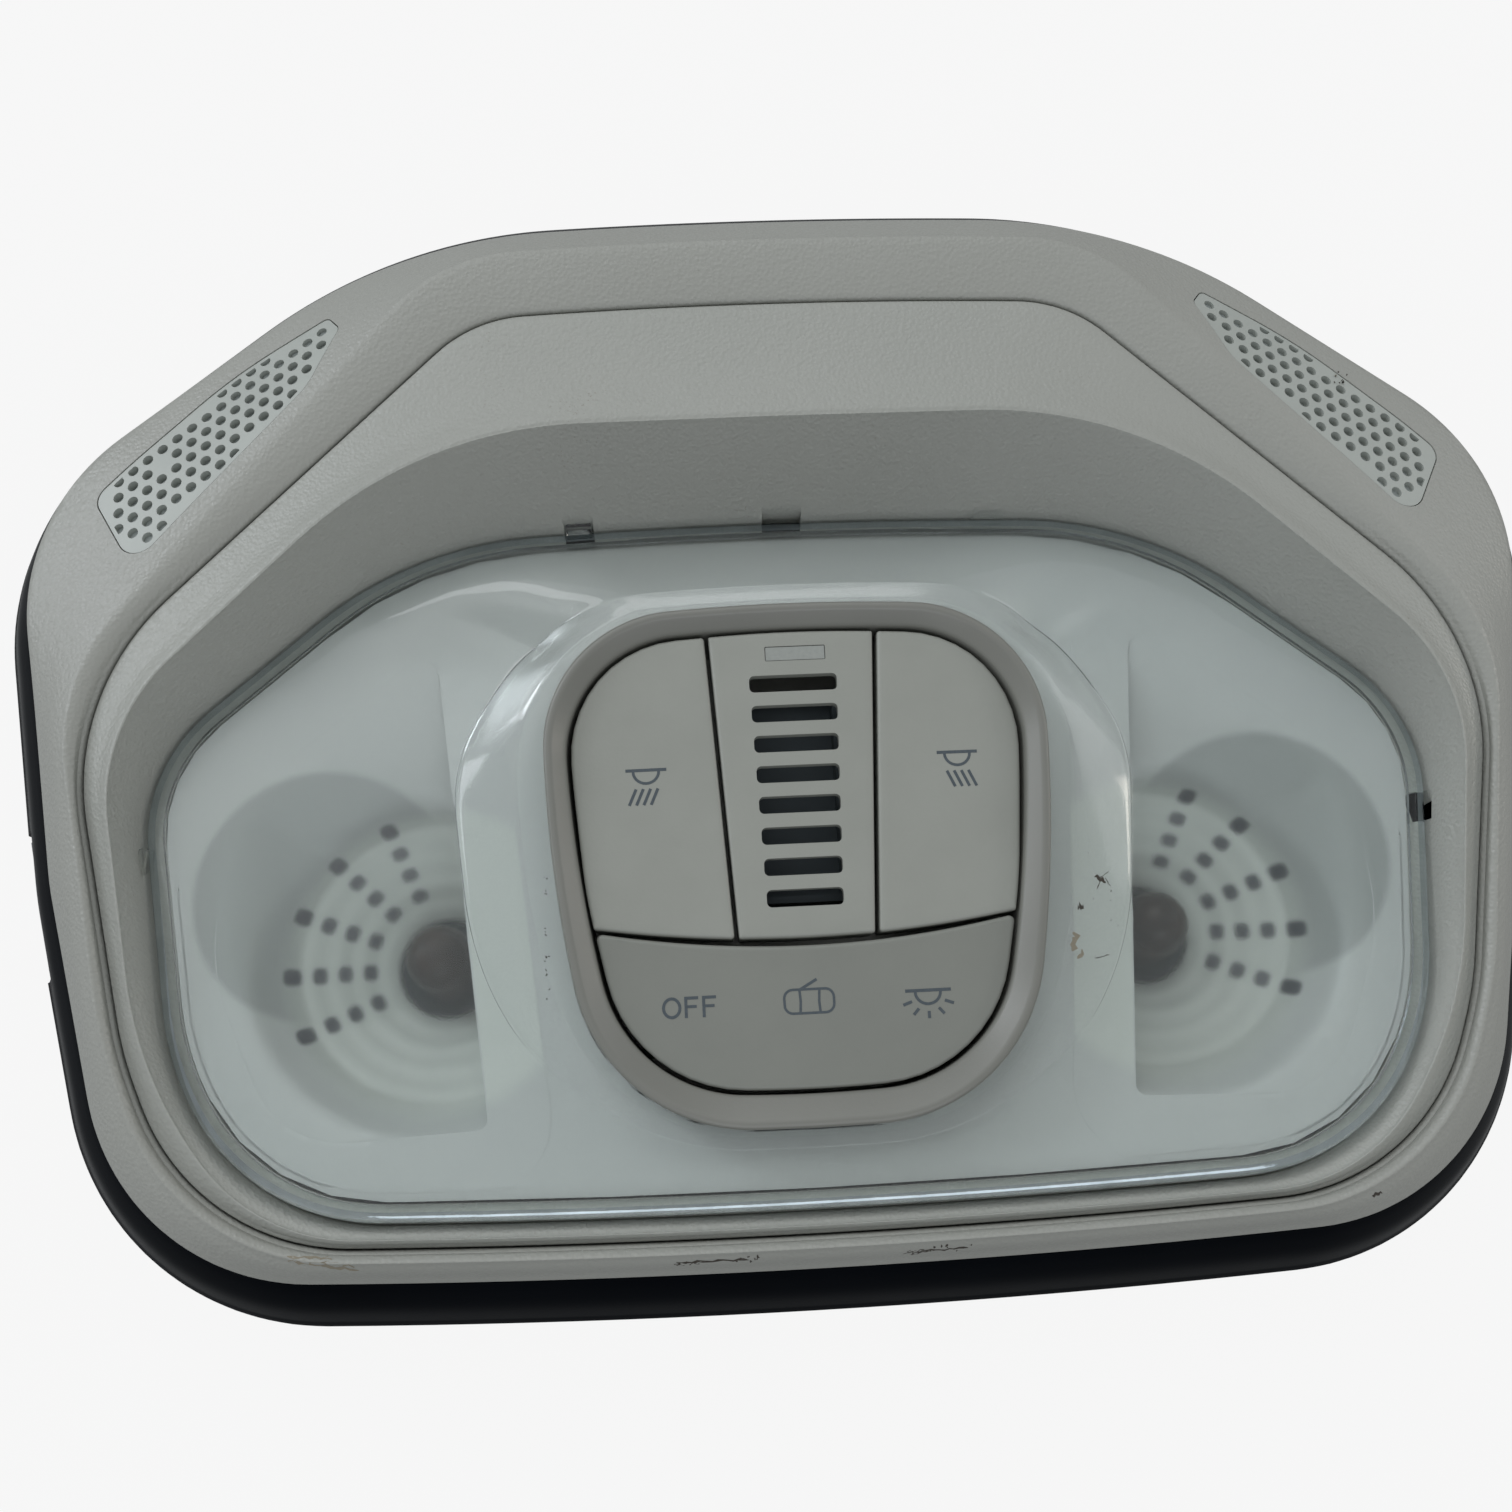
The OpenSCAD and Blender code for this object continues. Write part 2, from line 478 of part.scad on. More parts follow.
module mode_rocker() color([0.7, 0.7, 0.68]) difference() {
    union() {
        difference() {
            intersection() {
                rocker_block(0, skirt_z + 1.5, key_z);
                crown(key_z);
            }
            rocker_block(key_t, skirt_z, key_z - key_t);
        }
        translate([0, rocker_y + hub_half, pin_z]) rotate([90, 0, 0]) cylinder(r = hub_r, h = 2 * hub_half, $fn = 48);
        translate([-hub_r, rocker_y - hub_half, pin_z]) cube([2 * hub_r, 2 * hub_half, key_z - key_t - pin_z + 0.5]);
        for (x = [-1, 1]) translate([x * rocker_x - 2, rocker_y - 3, stem_z]) cube([4, 6, key_z - key_t + 0.5 - stem_z]);
    }
    translate([0, rocker_y + 8, pin_z]) rotate([90, 0, 0]) cylinder(r = pin_d / 2 + pin_clear, h = 16, $fn = 48);
}

module rocker_pin() color([0.8, 0.8, 0.8]) translate([0, rocker_y + ear_at + ear_t / 2, pin_z]) rotate([90, 0, 0])
    cylinder(d = pin_d, h = 2 * ear_at + ear_t, $fn = 48);

module centre_grille() color([0.7, 0.7, 0.68]) difference() {
    union() {
        intersection() {
            field(0, skirt_z, key_z);
            above_arc(0);
            translate([0, 0, skirt_z]) linear_extrude(height = key_skirt) polygon([
                [-bar_half(20) + key_gap / 2, 20], [bar_half(20) - key_gap / 2, 20],
                [bar_half(-45) - key_gap / 2, -45], [-bar_half(-45) + key_gap / 2, -45]]);
        }
        for (y = [-31.5, 4.5]) translate([-3, y - 1.5, carrier_z + carrier_t]) cube([6, 3, skirt_z - carrier_z - carrier_t + 2]);
    }
    translate([0, -14.5, skirt_z + (key_skirt - key_t) / 2 - 0.5]) cube([bar_bottom * 2 - 4, 34, key_skirt - key_t + 1], center = true);
    for (i = [0:slots - 1]) translate([0, 2.1 - i * slot_pitch, 0]) slot(slot_w - i * 0.27, slot_h);
    translate([0.5, 6.6, key_z]) cube([8.9, 2.2, 1.6], center = true);
}

module slot(w, h) {
    translate([0, 0, key_z - 8]) linear_extrude(height = 10) polygon([[-w / 2 + 0.5, -h / 2], [w / 2 - 0.5, -h / 2],
        [w / 2, -h / 2 + 0.5], [w / 2, h / 2 - 0.5], [w / 2 - 0.5, h / 2], [-w / 2 + 0.5, h / 2],
        [-w / 2, h / 2 - 0.5], [-w / 2, -h / 2 + 0.5]]);
}

module slot_baffle() color([0.05, 0.06, 0.1]) difference() {
    translate([-7, -29.5, carrier_z + carrier_t]) cube([14, 31.5, 9]);
    translate([-6, -28.5, carrier_z + carrier_t + 5]) cube([12, 29.5, 9]);
}

module indicator_window() color([0.6, 0.62, 0.6]) translate([0.5, 6.6, key_z - 0.45]) cube([8.7, 2, 0.7], center = true);

module circuit_board() color([0.1, 0.35, 0.2]) difference() {
    prism(grown(ring_o, -wall - 0.4), board_z, board_z + board_t);
    for (x = [-1, 1], q = screw_at) translate([x * q.x, q.y, board_z - 1]) cylinder(d = 3.2, h = 4, $fn = 32);
}

module key_switches() color([0.1, 0.1, 0.1]) for (x = [-1, 1]) {
    translate([x * press_x, key_y, board_z + board_t]) translate([-3, -3, 0]) cube([6, 6, switch_h]);
    translate([x * rocker_x, rocker_y, board_z + board_t]) translate([-3, -3, 0]) cube([6, 6, switch_h]);
}

// Rubber domes between the switches and the key stems
module switch_domes() color([0.5, 0.5, 0.5]) for (x = [-1, 1], q = [[press_x, key_y], [rocker_x, rocker_y]])
    translate([x * q.x, q.y, board_z + board_t + switch_h]) cylinder(d1 = 5, d2 = 3, h = stem_z - board_z - board_t - switch_h, $fn = 32);

module connector_socket() color([0.9, 0.9, 0.88]) {
    difference() {
        union() {
            translate([-13, -26, 1]) cube([26, 12, board_z - 1]);
            translate([-1.5, -14.5, 3]) cube([3, 1.6, 8]);
        }
        translate([-11.6, -24.6, 0]) cube([23.2, 9.2, 12]);
    }
    for (i = [-3:3]) translate([i * 3 - 0.4, -18.8, 5]) cube([0.8, 0.8, 8]);
}

// U-shaped leaf that grips the lip of the frame in each notch
module spring_clips() color([0.75, 0.75, 0.78]) for (s = [-1, 1]) lip(s) {
    translate([-notch_in, -clip_len / 2, frame_z - 2.6]) cube([clip_t, clip_len, 4]);
    translate([-10, -clip_len / 2, frame_z - 2.6]) cube([10 - notch_in + clip_t, clip_len, clip_t - 0.02]);
    translate([-10, -clip_len / 2, frame_z - 2.6]) cube([clip_t, clip_len, flange_z - frame_z + 2.6 - 0.02]);
}

module housing_screws() color([0.6, 0.6, 0.62]) for (x = [-1, 1], q = screw_at) translate([x * q.x, q.y, 0]) {
    translate([0, 0, board_z - 8]) cylinder(d = 2.9, h = 8 + board_t, $fn = 32);
    translate([0, 0, board_z + board_t]) cylinder(d = 5.4, h = 0.9, $fn = 32);
}

trim_bezel();
inner_surround();
grille_insert(-1);  // grille_left
grille_insert(1);  // grille_right
microphone(-1);  // microphone_left
microphone(1);  // microphone_right
back_frame();
rear_housing();
lens();
reflector_panel();
lamp_bowl(-1);  // lamp_bowl_left
lamp_bowl(1);  // lamp_bowl_right
bulb(-1);  // bulb_left
bulb(1);  // bulb_right
bulb_holder(-1);  // bulb_holder_left
bulb_holder(1);  // bulb_holder_right
switch_ring();
switch_carrier();
centre_grille();
slot_baffle();
indicator_window();
push_key(-1);  // left_key
push_key(1);  // right_key
mode_rocker();
rocker_pin();
circuit_board();
key_switches();
switch_domes();
connector_socket();
spring_clips();
housing_screws();
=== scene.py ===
import math
import random

import bpy
import bmesh
import numpy as np
from mathutils import Matrix, Vector


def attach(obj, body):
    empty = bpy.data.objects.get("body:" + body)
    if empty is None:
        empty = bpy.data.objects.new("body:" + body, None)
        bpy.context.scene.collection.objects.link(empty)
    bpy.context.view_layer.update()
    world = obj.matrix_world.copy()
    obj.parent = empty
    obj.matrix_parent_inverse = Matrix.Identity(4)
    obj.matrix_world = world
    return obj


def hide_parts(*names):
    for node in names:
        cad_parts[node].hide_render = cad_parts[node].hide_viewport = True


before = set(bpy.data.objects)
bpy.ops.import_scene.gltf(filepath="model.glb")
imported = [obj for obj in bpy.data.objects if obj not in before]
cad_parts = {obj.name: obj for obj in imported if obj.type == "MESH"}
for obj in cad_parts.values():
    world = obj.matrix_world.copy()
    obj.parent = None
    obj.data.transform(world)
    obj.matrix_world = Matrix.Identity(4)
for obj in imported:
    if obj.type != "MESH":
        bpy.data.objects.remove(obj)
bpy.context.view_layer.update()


# Camera
# The light lies on its back on a pale table and is seen from 26 cm above the table, a little
# below its middle. Focal length and pose come from the outline.
mm = 0.001


def place(name, data):
    """New object in the scene."""
    made = bpy.data.objects.new(name, data)
    bpy.context.collection.objects.link(made)
    return made


camera = bpy.data.cameras.new("camera")
camera.sensor_width = 36.0
camera.lens = 36.0 * 1516.0 / 1512.0
camera.clip_start = 0.01
camera_object = place("camera", camera)
tilt, yaw, roll = (math.radians(a) for a in (-11.513, 2.41, 2.473))
turn = Matrix.Rotation(-roll, 3, "Z") @ Matrix.Rotation(-yaw, 3, "Y") @ Matrix.Rotation(tilt, 3, "X")
look = turn @ Matrix(((1, 0, 0), (0, -1, 0), (0, 0, -1)))
axes = Matrix((look[0], -look[1], -look[2])).transposed()
camera_object.matrix_world = Matrix.Translation(Vector((-15.23, -52.4, 259)) * mm) @ axes.to_4x4()
bpy.context.scene.camera = camera_object
bpy.context.scene.view_settings.view_transform = "Standard"


def linear(code):
    """Linear colour of an sRGB hex value."""
    parts = [int(code[i:i + 2], 16) / 255 for i in (1, 3, 5)]
    return tuple(p / 12.92 if p <= 0.04045 else ((p + 0.055) / 1.055) ** 2.4 for p in parts) + (1.0,)


def add(tree, kind, settings=None, **sockets):
    """Add one shader node. Settings go on the node; a socket, by name or as _number, takes a
    value or the output of another node."""
    node = tree.nodes.new("ShaderNode" + kind)
    for name, value in (settings or {}).items():
        setattr(node, name, value)
    for name, value in sockets.items():
        socket = node.inputs[int(name[1:]) if name[0] == "_" else name.replace("_", " ")]
        if isinstance(value, bpy.types.NodeSocket):
            tree.links.new(value, socket)
        else:
            socket.default_value = value
    return node


def material(name):
    """Empty material and its node tree."""
    made = bpy.data.materials.new(name)
    made.use_nodes = True
    made.node_tree.nodes.clear()
    return made, made.node_tree


# Table and light
# A pale matt table that reads as white. A high ceiling light gives most of the light but no
# glare; a tube behind the top edge, a window and the door glass draw the soft reflections.
table_mesh = bpy.data.meshes.new("table")
table_mesh.from_pydata([(-3, -3, 0), (3, -3, 0), (3, 3, 0), (-3, 3, 0)], [], [(0, 1, 2, 3)])
table = place("table", table_mesh)
table_paper, tree = material("matt_table_paper")
path = add(tree, "LightPath")
either = add(tree, "Math", {"operation": "MAXIMUM"}, _0=path.outputs["Is Camera Ray"],
             _1=path.outputs["Is Transmission Ray"])
share = add(tree, "Math", {"operation": "MULTIPLY"}, _0=either.outputs[0], _1=0.94)
paper = add(tree, "BsdfDiffuse", Color=linear("#a9a9a8"))
glow = add(tree, "Emission", Color=linear("#fbfbfb"), Strength=1.0)
both = add(tree, "MixShader", _0=share.outputs[0], _1=paper.outputs[0], _2=glow.outputs[0])
add(tree, "OutputMaterial", Surface=both.outputs[0])
table_mesh.materials.append(table_paper)

world = bpy.data.worlds.new("room")
bpy.context.scene.world = world
world.use_nodes = True
world.node_tree.nodes["Background"].inputs["Color"].default_value = linear("#f4f7fa")
world.node_tree.nodes["Background"].inputs["Strength"].default_value = 0.42


def lamp(name, spot, size, power, tint, glare=True):
    """Area lamp aimed at the middle of the light."""
    light = bpy.data.lights.new(name, "AREA")
    light.shape = "RECTANGLE"
    light.size, light.size_y = size
    light.energy = power
    light.color = linear(tint)[:3]
    thing = place(name, light)
    thing.location = spot
    thing.rotation_euler = (Vector((0, 0, 0.03)) - Vector(spot)).to_track_quat("-Z", "Y").to_euler()
    thing.visible_glossy = glare


lamp("ceiling", (-0.3, 0.75, 1.35), (1.5, 0.5), 4.6, "#fbfdff", False)
lamp("ceiling_tube", (-0.38, 1.1, 0.98), (1.5, 0.3), 3.0, "#fbfdff")
lamp("fill", (1.25, 0.5, 0.7), (0.8, 0.6), 1.7, "#fbfdff")
lamp("window", (0.1, -0.75, 0.85), (0.9, 0.4), 2.1, "#f6faff")
lamp("door_left", (-1.1, 0.3, 0.38), (0.4, 0.34), 1.9, "#f4f9ff")
lamp("door_glass", (-0.87, 0.66, 0.56), (0.2, 0.26), 2.2, "#f4f9ff")
lamp("door_right", (1.1, 0.15, 0.37), (0.16, 0.25), 0.9, "#fff6ea")


# Trim bezel
# Outer trim ring, injection moulded in light warm grey ABS with a leather grain; it clips over
# the black frame and has a window for a microphone grille in each shoulder.
def full(half):
    """Whole outline from the corners of its right half."""
    return half + [(-x, y, r) for x, y, r in half[-2:0:-1]]


def sides(c, i):
    """A corner, the directions of its two sides, and their lengths."""
    p = np.array(c[i][:2])
    a = np.array(c[i - 1][:2]) - p
    b = np.array(c[(i + 1) % len(c)][:2]) - p
    return p, a / np.hypot(*a), b / np.hypot(*b), np.hypot(*a), np.hypot(*b)


def grown(c, d):
    """Outline moved out by d mm."""
    made = []
    for i in range(len(c)):
        p, a, b, _, _ = sides(c, i)
        half = math.acos(max(-1, min(1, a @ b))) / 2
        out = 1 if b[0] * a[1] - b[1] * a[0] < 0 else -1
        m = (a + b) / np.hypot(*(a + b))
        q = p - m * out * d / math.sin(half)
        made.append((q[0], q[1], max(0.3, c[i][2] + d)))
    return made


def curve(c, k=20):
    """Points of an outline: its corners (x, y, radius) rounded, clockwise, in mm."""
    n = len(c)
    half = [math.acos(max(-1, min(1, sides(c, i)[1] @ sides(c, i)[2]))) / 2 for i in range(n)]
    want = [c[i][2] / math.tan(half[i]) for i in range(n)]
    points = []
    for i in range(n):
        p, a, b, da, db = sides(c, i)
        t = want[i] * min(1, da / (want[i] + want[i - 1]), db / (want[i] + want[(i + 1) % n]))
        r = t * math.tan(half[i])
        m = p + (a + b) / np.hypot(*(a + b)) * r / math.sin(half[i])
        s = p + a * t - m
        start = math.atan2(s[1], s[0])
        turn = 1 if b[0] * a[1] - b[1] * a[0] > 0 else -1
        for j in range(k + 1):
            angle = start + turn * (math.pi - 2 * half[i]) * j / k
            points.append(m + r * np.array((math.cos(angle), math.sin(angle))))
    return np.array(points)


hub = np.array((0.0, -12.0))
ray_count = 480
# Heights of sloping sections are given at this y
level_y = -2.4


def star(c):
    """An outline met by rays from the middle of the light, so that sections line up."""
    q = curve(c) - hub
    nxt = np.roll(q, -1, axis=0)
    found = []
    for i in range(ray_count):
        a = math.tau * (i + 0.5) / ray_count
        d = (math.sin(a), math.cos(a))
        e = q[:, 0] * d[1] - q[:, 1] * d[0]
        f = nxt[:, 0] * d[1] - nxt[:, 1] * d[0]
        ahead = (q + nxt) @ np.array(d) > 0
        k = int(np.flatnonzero(((e > 0) != (f > 0)) & ahead)[0])
        found.append(hub + q[k] + (nxt[k] - q[k]) * e[k] / (e[k] - f[k]))
    return np.array(found)


def at(q, z, slope=0.0):
    """Section through an outline at height z, which slopes along y."""
    return np.column_stack((q, z + slope * (q[:, 1] - level_y)))


def rim_at(c, d, z, slope=0.0):
    """Section at height z, parallel to an outline and d mm outside it."""
    return at(star(grown(c, d)), z, slope)


def mix(a, b, t):
    return a * (1 - t) + b * t


def flow(s, steps=4):
    """More sections, on a smooth curve through the given ones."""
    made = []
    for i in range(len(s) - 1):
        a, b, c, d = s[max(i - 1, 0)], s[i], s[i + 1], s[min(i + 2, len(s) - 1)]
        for k in range(steps):
            t = k / steps
            made.append(0.5 * (2 * b + (c - a) * t + (2 * a - 5 * b + 4 * c - d) * t * t
                               + (3 * b - a - 3 * c + d) * t ** 3))
    return made + [s[-1]]


def piece(name, points, faces, finishes, body, sharp=38, replaces=()):
    """Mesh piece from points in mm: smooth, with creases kept sharp, riding on a body."""
    mesh = bpy.data.meshes.new(name)
    mesh.from_pydata([tuple(c * mm for c in p) for p in points], [], faces)
    work = bmesh.new()
    work.from_mesh(mesh)
    bmesh.ops.recalc_face_normals(work, faces=work.faces)
    work.to_mesh(mesh)
    work.free()
    made = place(name, mesh)
    for finish in finishes:
        mesh.materials.append(finish)
    mesh.shade_smooth()
    mesh.set_sharp_from_angle(angle=math.radians(sharp))
    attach(made, body)
    if replaces:
        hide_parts(*replaces)
    return made


def ring_faces(m, n, closed):
    """Faces of m rings of n points: closed into a loop, or with an end face at either end."""
    faces = []
    for i in range(m if closed else m - 1):
        for j in range(n):
            k = (j + 1) % n
            faces.append((i * n + j, i * n + k, (i + 1) % m * n + k, (i + 1) % m * n + j))
    if not closed:
        faces += [tuple(range(n)), tuple(range((m - 1) * n, m * n))[::-1]]
    return faces


def shell(name, sections, finishes, body, sharp=38, replaces=(), closed=True):
    """Skin over sections that follow each other round its wall, or up a solid that isn't closed."""
    faces = ring_faces(len(sections), len(sections[0]), closed)
    return piece(name, np.concatenate(sections), faces, finishes, body, sharp, replaces)


def carve(target, cutters, sharp=38, how="DIFFERENCE"):
    """Cut the cutters out of a piece, or keep what lies within them, and throw them away."""
    for tool in cutters:
        step = target.modifiers.new("cut", "BOOLEAN")
        step.operation = how
        step.solver = "EXACT"
        step.object = tool
    done = bpy.data.meshes.new_from_object(target.evaluated_get(bpy.context.evaluated_depsgraph_get()))
    target.modifiers.clear()
    target.data = done
    done.shade_smooth()
    done.set_sharp_from_angle(angle=math.radians(sharp))
    for tool in cutters:
        bpy.data.objects.remove(tool)


def cutter(outline, z0, z1, where=Matrix()):
    """Prism for carving, in mm, put in place by a matrix."""
    work = bmesh.new()
    low = [work.verts.new((x * mm, y * mm, z0 * mm)) for x, y in outline]
    high = [work.verts.new((x * mm, y * mm, z1 * mm)) for x, y in outline]
    n = len(low)
    work.faces.new(low[::-1])
    work.faces.new(high)
    for i in range(n):
        work.faces.new((low[i], low[(i + 1) % n], high[(i + 1) % n], high[i]))
    work.transform(where)
    bmesh.ops.recalc_face_normals(work, faces=work.faces)
    mesh = bpy.data.meshes.new("cutter")
    work.to_mesh(mesh)
    work.free()
    return place("cutter", mesh)


edge_o = full([(0, 81.2, 920), (59, 79.2, 76), (116, 35, 34.6), (109.1, -21.8, 51.5), (97.1, -77.8, 34.3),
               (0, -82.5, 1500)])
crest_o = full([(0, 73.2, 900), (50.1, 71, 25.5), (106.6, 6.7, 29), (99, -43.5, 60),
                (87.8, -74.9, 33.5), (0, -78.8, 1500)])
groove_o = full([(0, 63.5, 900), (45.9, 61.6, 20.9), (105.8, 5.7, 36.2), (96.8, -46.2, 51.1),
                 (86.5, -73.6, 32.5), (0, -77.3, 1500)])
edge_s, crest_s, groove_s = star(edge_o), star(crest_o), star(groove_o)


def grained_abs(name, tone, shade, dirt):
    """Light grey ABS moulded against an etched leather grain: soft sheen that sparkles where the
    grain catches the lamp, slightly uneven colour, and brown dust caught in the grain."""
    made, tree = material(name)
    spot = add(tree, "TexCoord").outputs["Object"]
    cells = add(tree, "TexVoronoi", {"feature": "SMOOTH_F1"}, Vector=spot, Scale=1 / (0.62 * mm),
                Smoothness=0.35)
    pores = add(tree, "TexNoise", Vector=spot, Scale=1 / (0.5 * mm), Detail=3.0, Roughness=0.6)
    height = add(tree, "Math", {"operation": "MULTIPLY_ADD"}, _0=pores.outputs["Fac"], _1=0.7,
                 _2=cells.outputs["Distance"])
    bump = add(tree, "Bump", Height=height.outputs[0], Strength=0.7, Distance=0.12 * mm)
    cloud = add(tree, "TexNoise", Vector=spot, Scale=1 / (38 * mm), Detail=4.0, Roughness=0.55)
    tint = add(tree, "Mix", {"data_type": "RGBA"}, Factor=cloud.outputs["Fac"], _6=linear(tone),
               _7=linear(shade))
    specks = add(tree, "TexNoise", Vector=spot, Scale=1 / (0.45 * mm), Detail=2.0)
    patches = add(tree, "TexNoise", Vector=spot, Scale=1 / (21 * mm), Detail=3.0, Roughness=0.6)
    few = add(tree, "MapRange", Value=specks.outputs["Fac"], From_Min=0.62, From_Max=0.72)
    where = add(tree, "MapRange", Value=patches.outputs["Fac"], From_Min=0.56, From_Max=0.72,
                To_Max=dirt)
    dusty = add(tree, "Math", {"operation": "MULTIPLY"}, _0=few.outputs[0], _1=where.outputs[0])
    stained = add(tree, "Mix", {"data_type": "RGBA"}, Factor=dusty.outputs[0], _6=tint.outputs[2],
                  _7=linear("#6a5f4f"))
    worn = add(tree, "MapRange", Value=cells.outputs["Distance"], To_Min=0.3, To_Max=0.5)
    skin = add(tree, "BsdfPrincipled", Base_Color=stained.outputs[2], Roughness=worn.outputs[0],
               Normal=bump.outputs[0], IOR=1.53)
    add(tree, "OutputMaterial", Surface=skin.outputs[0])
    return made


bezel_abs = grained_abs("warm_grey_abs_leather_grain", "#9d9e98", "#959690", 0.25)
bezel = shell("bezel_skin", [rim_at(edge_o, -0.6, 34.6)]
              + flow([at(edge_s, 35.5), at(edge_s, 36.6), rim_at(edge_o, -0.7, 37.6),
                      at(mix(edge_s, crest_s, 0.55), 41.1, 0.01), at(mix(edge_s, crest_s, 0.86), 42.9, 0.018),
                      at(crest_s, 43.5, 0.02), at(mix(crest_s, groove_s, 0.55), 43.0, 0.025),
                      rim_at(groove_o, 0.62, 42.1, 0.032)])
              + [rim_at(groove_o, 0.36, 41.95, 0.032), rim_at(groove_o, 0.2, 41.7, 0.032),
                 rim_at(groove_o, 0.13, 41.2, 0.032), rim_at(groove_o, 0.12, 36.6),
                 rim_at(groove_o, 1.3, 36.6), at(mix(edge_s, groove_s, 0.66), 39.2),
                 at(mix(edge_s, groove_s, 0.4), 38.4), rim_at(edge_o, -1.4, 34.6)],
              [bezel_abs], "housing", replaces=["trim_bezel"])


def shoulder(side):
    """Place of a grille: local x along the shoulder, y outward, z out of it."""
    m = Matrix.Translation(Vector((85.4, 46.4, 40.93)) * mm) @ Matrix.Rotation(math.radians(-37.7), 4, "Z") \
        @ Matrix.Rotation(math.radians(-19), 4, "X") @ Matrix.Rotation(math.radians(2.7), 4, "Y")
    return Matrix.Diagonal((side, 1, 1, 1)) @ m


grille_c = [(-24.3, 4.1, 1.2), (-8, 6.6, 60), (20.9, 4.0, 2.8), (22.6, -11.1, 3.6), (-14.6, -5.55, 12),
            (-24.4, 0.15, 1.5)]
blanks = []
for s in (-1, 1):
    blank = place("grille_blank", bezel.data.copy())
    blank.data.transform(Matrix.Translation((0, 0, -0.12 * mm)))
    carve(blank, [cutter(curve(grown(grille_c, -0.16), 8), -8, 8, shoulder(s))], how="INTERSECT")
    blanks.append(blank)
carve(bezel, [cutter(curve(grille_c, 8), -8, 8, shoulder(s)) for s in (-1, 1)])


# Inner surround
# Hooded panel between the bezel and the lens, same ABS and grain; it snaps in behind the bezel
# with a fine parting groove, and its hood crease carries most of the handling wear.
crease_o = full([(0, 42.6, 900), (53.9, 42.3, 62), (99.9, -0.4, 27.2), (93.6, -50.3, 55.4),
                 (77.1, -72.6, 27.3), (0, -75.8, 1500)])
lens_o = full([(0, 32.3, 900), (57.7, 30, 54.6), (97.5, -4.4, 23.4), (91, -47.7, 42.4),
               (78.4, -70.4, 32.3), (0, -73.4, 1500)])
crease_s, lens_s = star(crease_o), star(lens_o)
lens_z, lens_slope = 35, -0.1
surround_abs = grained_abs("warm_grey_abs_hood_grain", "#a1a29c", "#989a94", 0.55)
surround = shell("surround_skin", [rim_at(groove_o, -0.1, 35.6), rim_at(groove_o, -0.12, 41.2, 0.032),
                                   rim_at(groove_o, -0.18, 41.65, 0.033),
                                   rim_at(groove_o, -0.36, 41.9, 0.034)]
                 + flow([rim_at(groove_o, -0.7, 42.06, 0.035), at(mix(groove_s, crease_s, 0.6), 43.5, 0.045),
                         at(mix(groove_s, crease_s, 0.9), 44.75, 0.056), at(crease_s, 45.0, 0.06),
                         at(mix(crease_s, lens_s, 0.08), 44.3, 0.055), at(mix(crease_s, lens_s, 0.5), 39.55),
                         rim_at(lens_o, 0.35, 33.2, -0.057)], 5)
                 + [rim_at(lens_o, 0.33, 32.2, -0.09), rim_at(lens_o, 0.1, 31.85, -0.1),
                    rim_at(lens_o, -2.3, 31.8, -0.1), rim_at(lens_o, -2.3, 30.6, -0.1),
                    rim_at(lens_o, 1.2, 30.6, -0.1), at(mix(crease_s, lens_s, 0.5), 35.75),
                    at(mix(groove_s, crease_s, 0.95), 42.3, 0.05), rim_at(groove_o, -1.3, 35.6)],
                 [surround_abs], "housing", replaces=["inner_surround"])


def lens_edge(x=None, y=None, side=1):
    """Point where the outline of the lens crosses x on its top side, or y on the given side."""
    q = curve(lens_o, 40)
    if y is None:
        q = q[q[:, 1] > 0]
        return x, np.interp(x, *q[np.argsort(q[:, 0])].T)
    q = q[q[:, 0] * side > 0]
    return np.interp(y, *q[np.argsort(q[:, 1])].T[::-1]), y


def beside(point, angle):
    """Place of a lug or its slot: x along the outline of the lens, y out of it."""
    spin = Matrix.Rotation(math.radians(angle), 4, "Z")
    return Matrix.Translation((point[0] * mm, point[1] * mm, 0)) @ spin


lug_slots = [(lens_edge(x=0.5), 0, 6.2), (lens_edge(x=-31.5), 2, 4.6), (lens_edge(y=-19, side=1), -81, 4.4)]
carve(surround, [cutter([(-w / 2, -2.2), (-w / 2, 1.3), (w / 2, 1.3), (w / 2, -2.2)], 26, 36.6, beside(q, a))
                 for q, a, w in lug_slots])


# Microphone grilles
# Perforated inserts of smooth ABS, pressed into the shoulders of the bezel: round holes in a
# close hexagonal pattern, with a black microphone capsule behind each.
def mottled(name, tone, shade, cloud, grit=None, relief=(0.2, 0.05), **gloss):
    """Two tones in soft clouds, and a fine relief. Cloud and grit are the size in mm and the detail
    of a pattern, with its roughness where that isn't 0.5; relief is the strength and depth in mm."""
    made, tree = material(name)
    spot = add(tree, "TexCoord").outputs["Object"]
    spread = add(tree, "TexNoise", Vector=spot, Scale=1 / (cloud[0] * mm), Detail=cloud[1],
                 Roughness=(*cloud, 0.5)[2])
    tint = add(tree, "Mix", {"data_type": "RGBA"}, Factor=spread.outputs["Fac"], _6=linear(tone),
               _7=linear(shade))
    skin = add(tree, "BsdfPrincipled", Base_Color=tint.outputs[2], **gloss)
    if grit:
        fine = add(tree, "TexNoise", Vector=spot, Scale=1 / (grit[0] * mm), Detail=grit[1],
                   Roughness=(*grit, 0.5)[2])
        bump = add(tree, "Bump", Height=fine.outputs["Fac"], Strength=relief[0],
                   Distance=relief[1] * mm)
        tree.links.new(bump.outputs[0], skin.inputs["Normal"])
    add(tree, "OutputMaterial", Surface=skin.outputs[0])
    return made


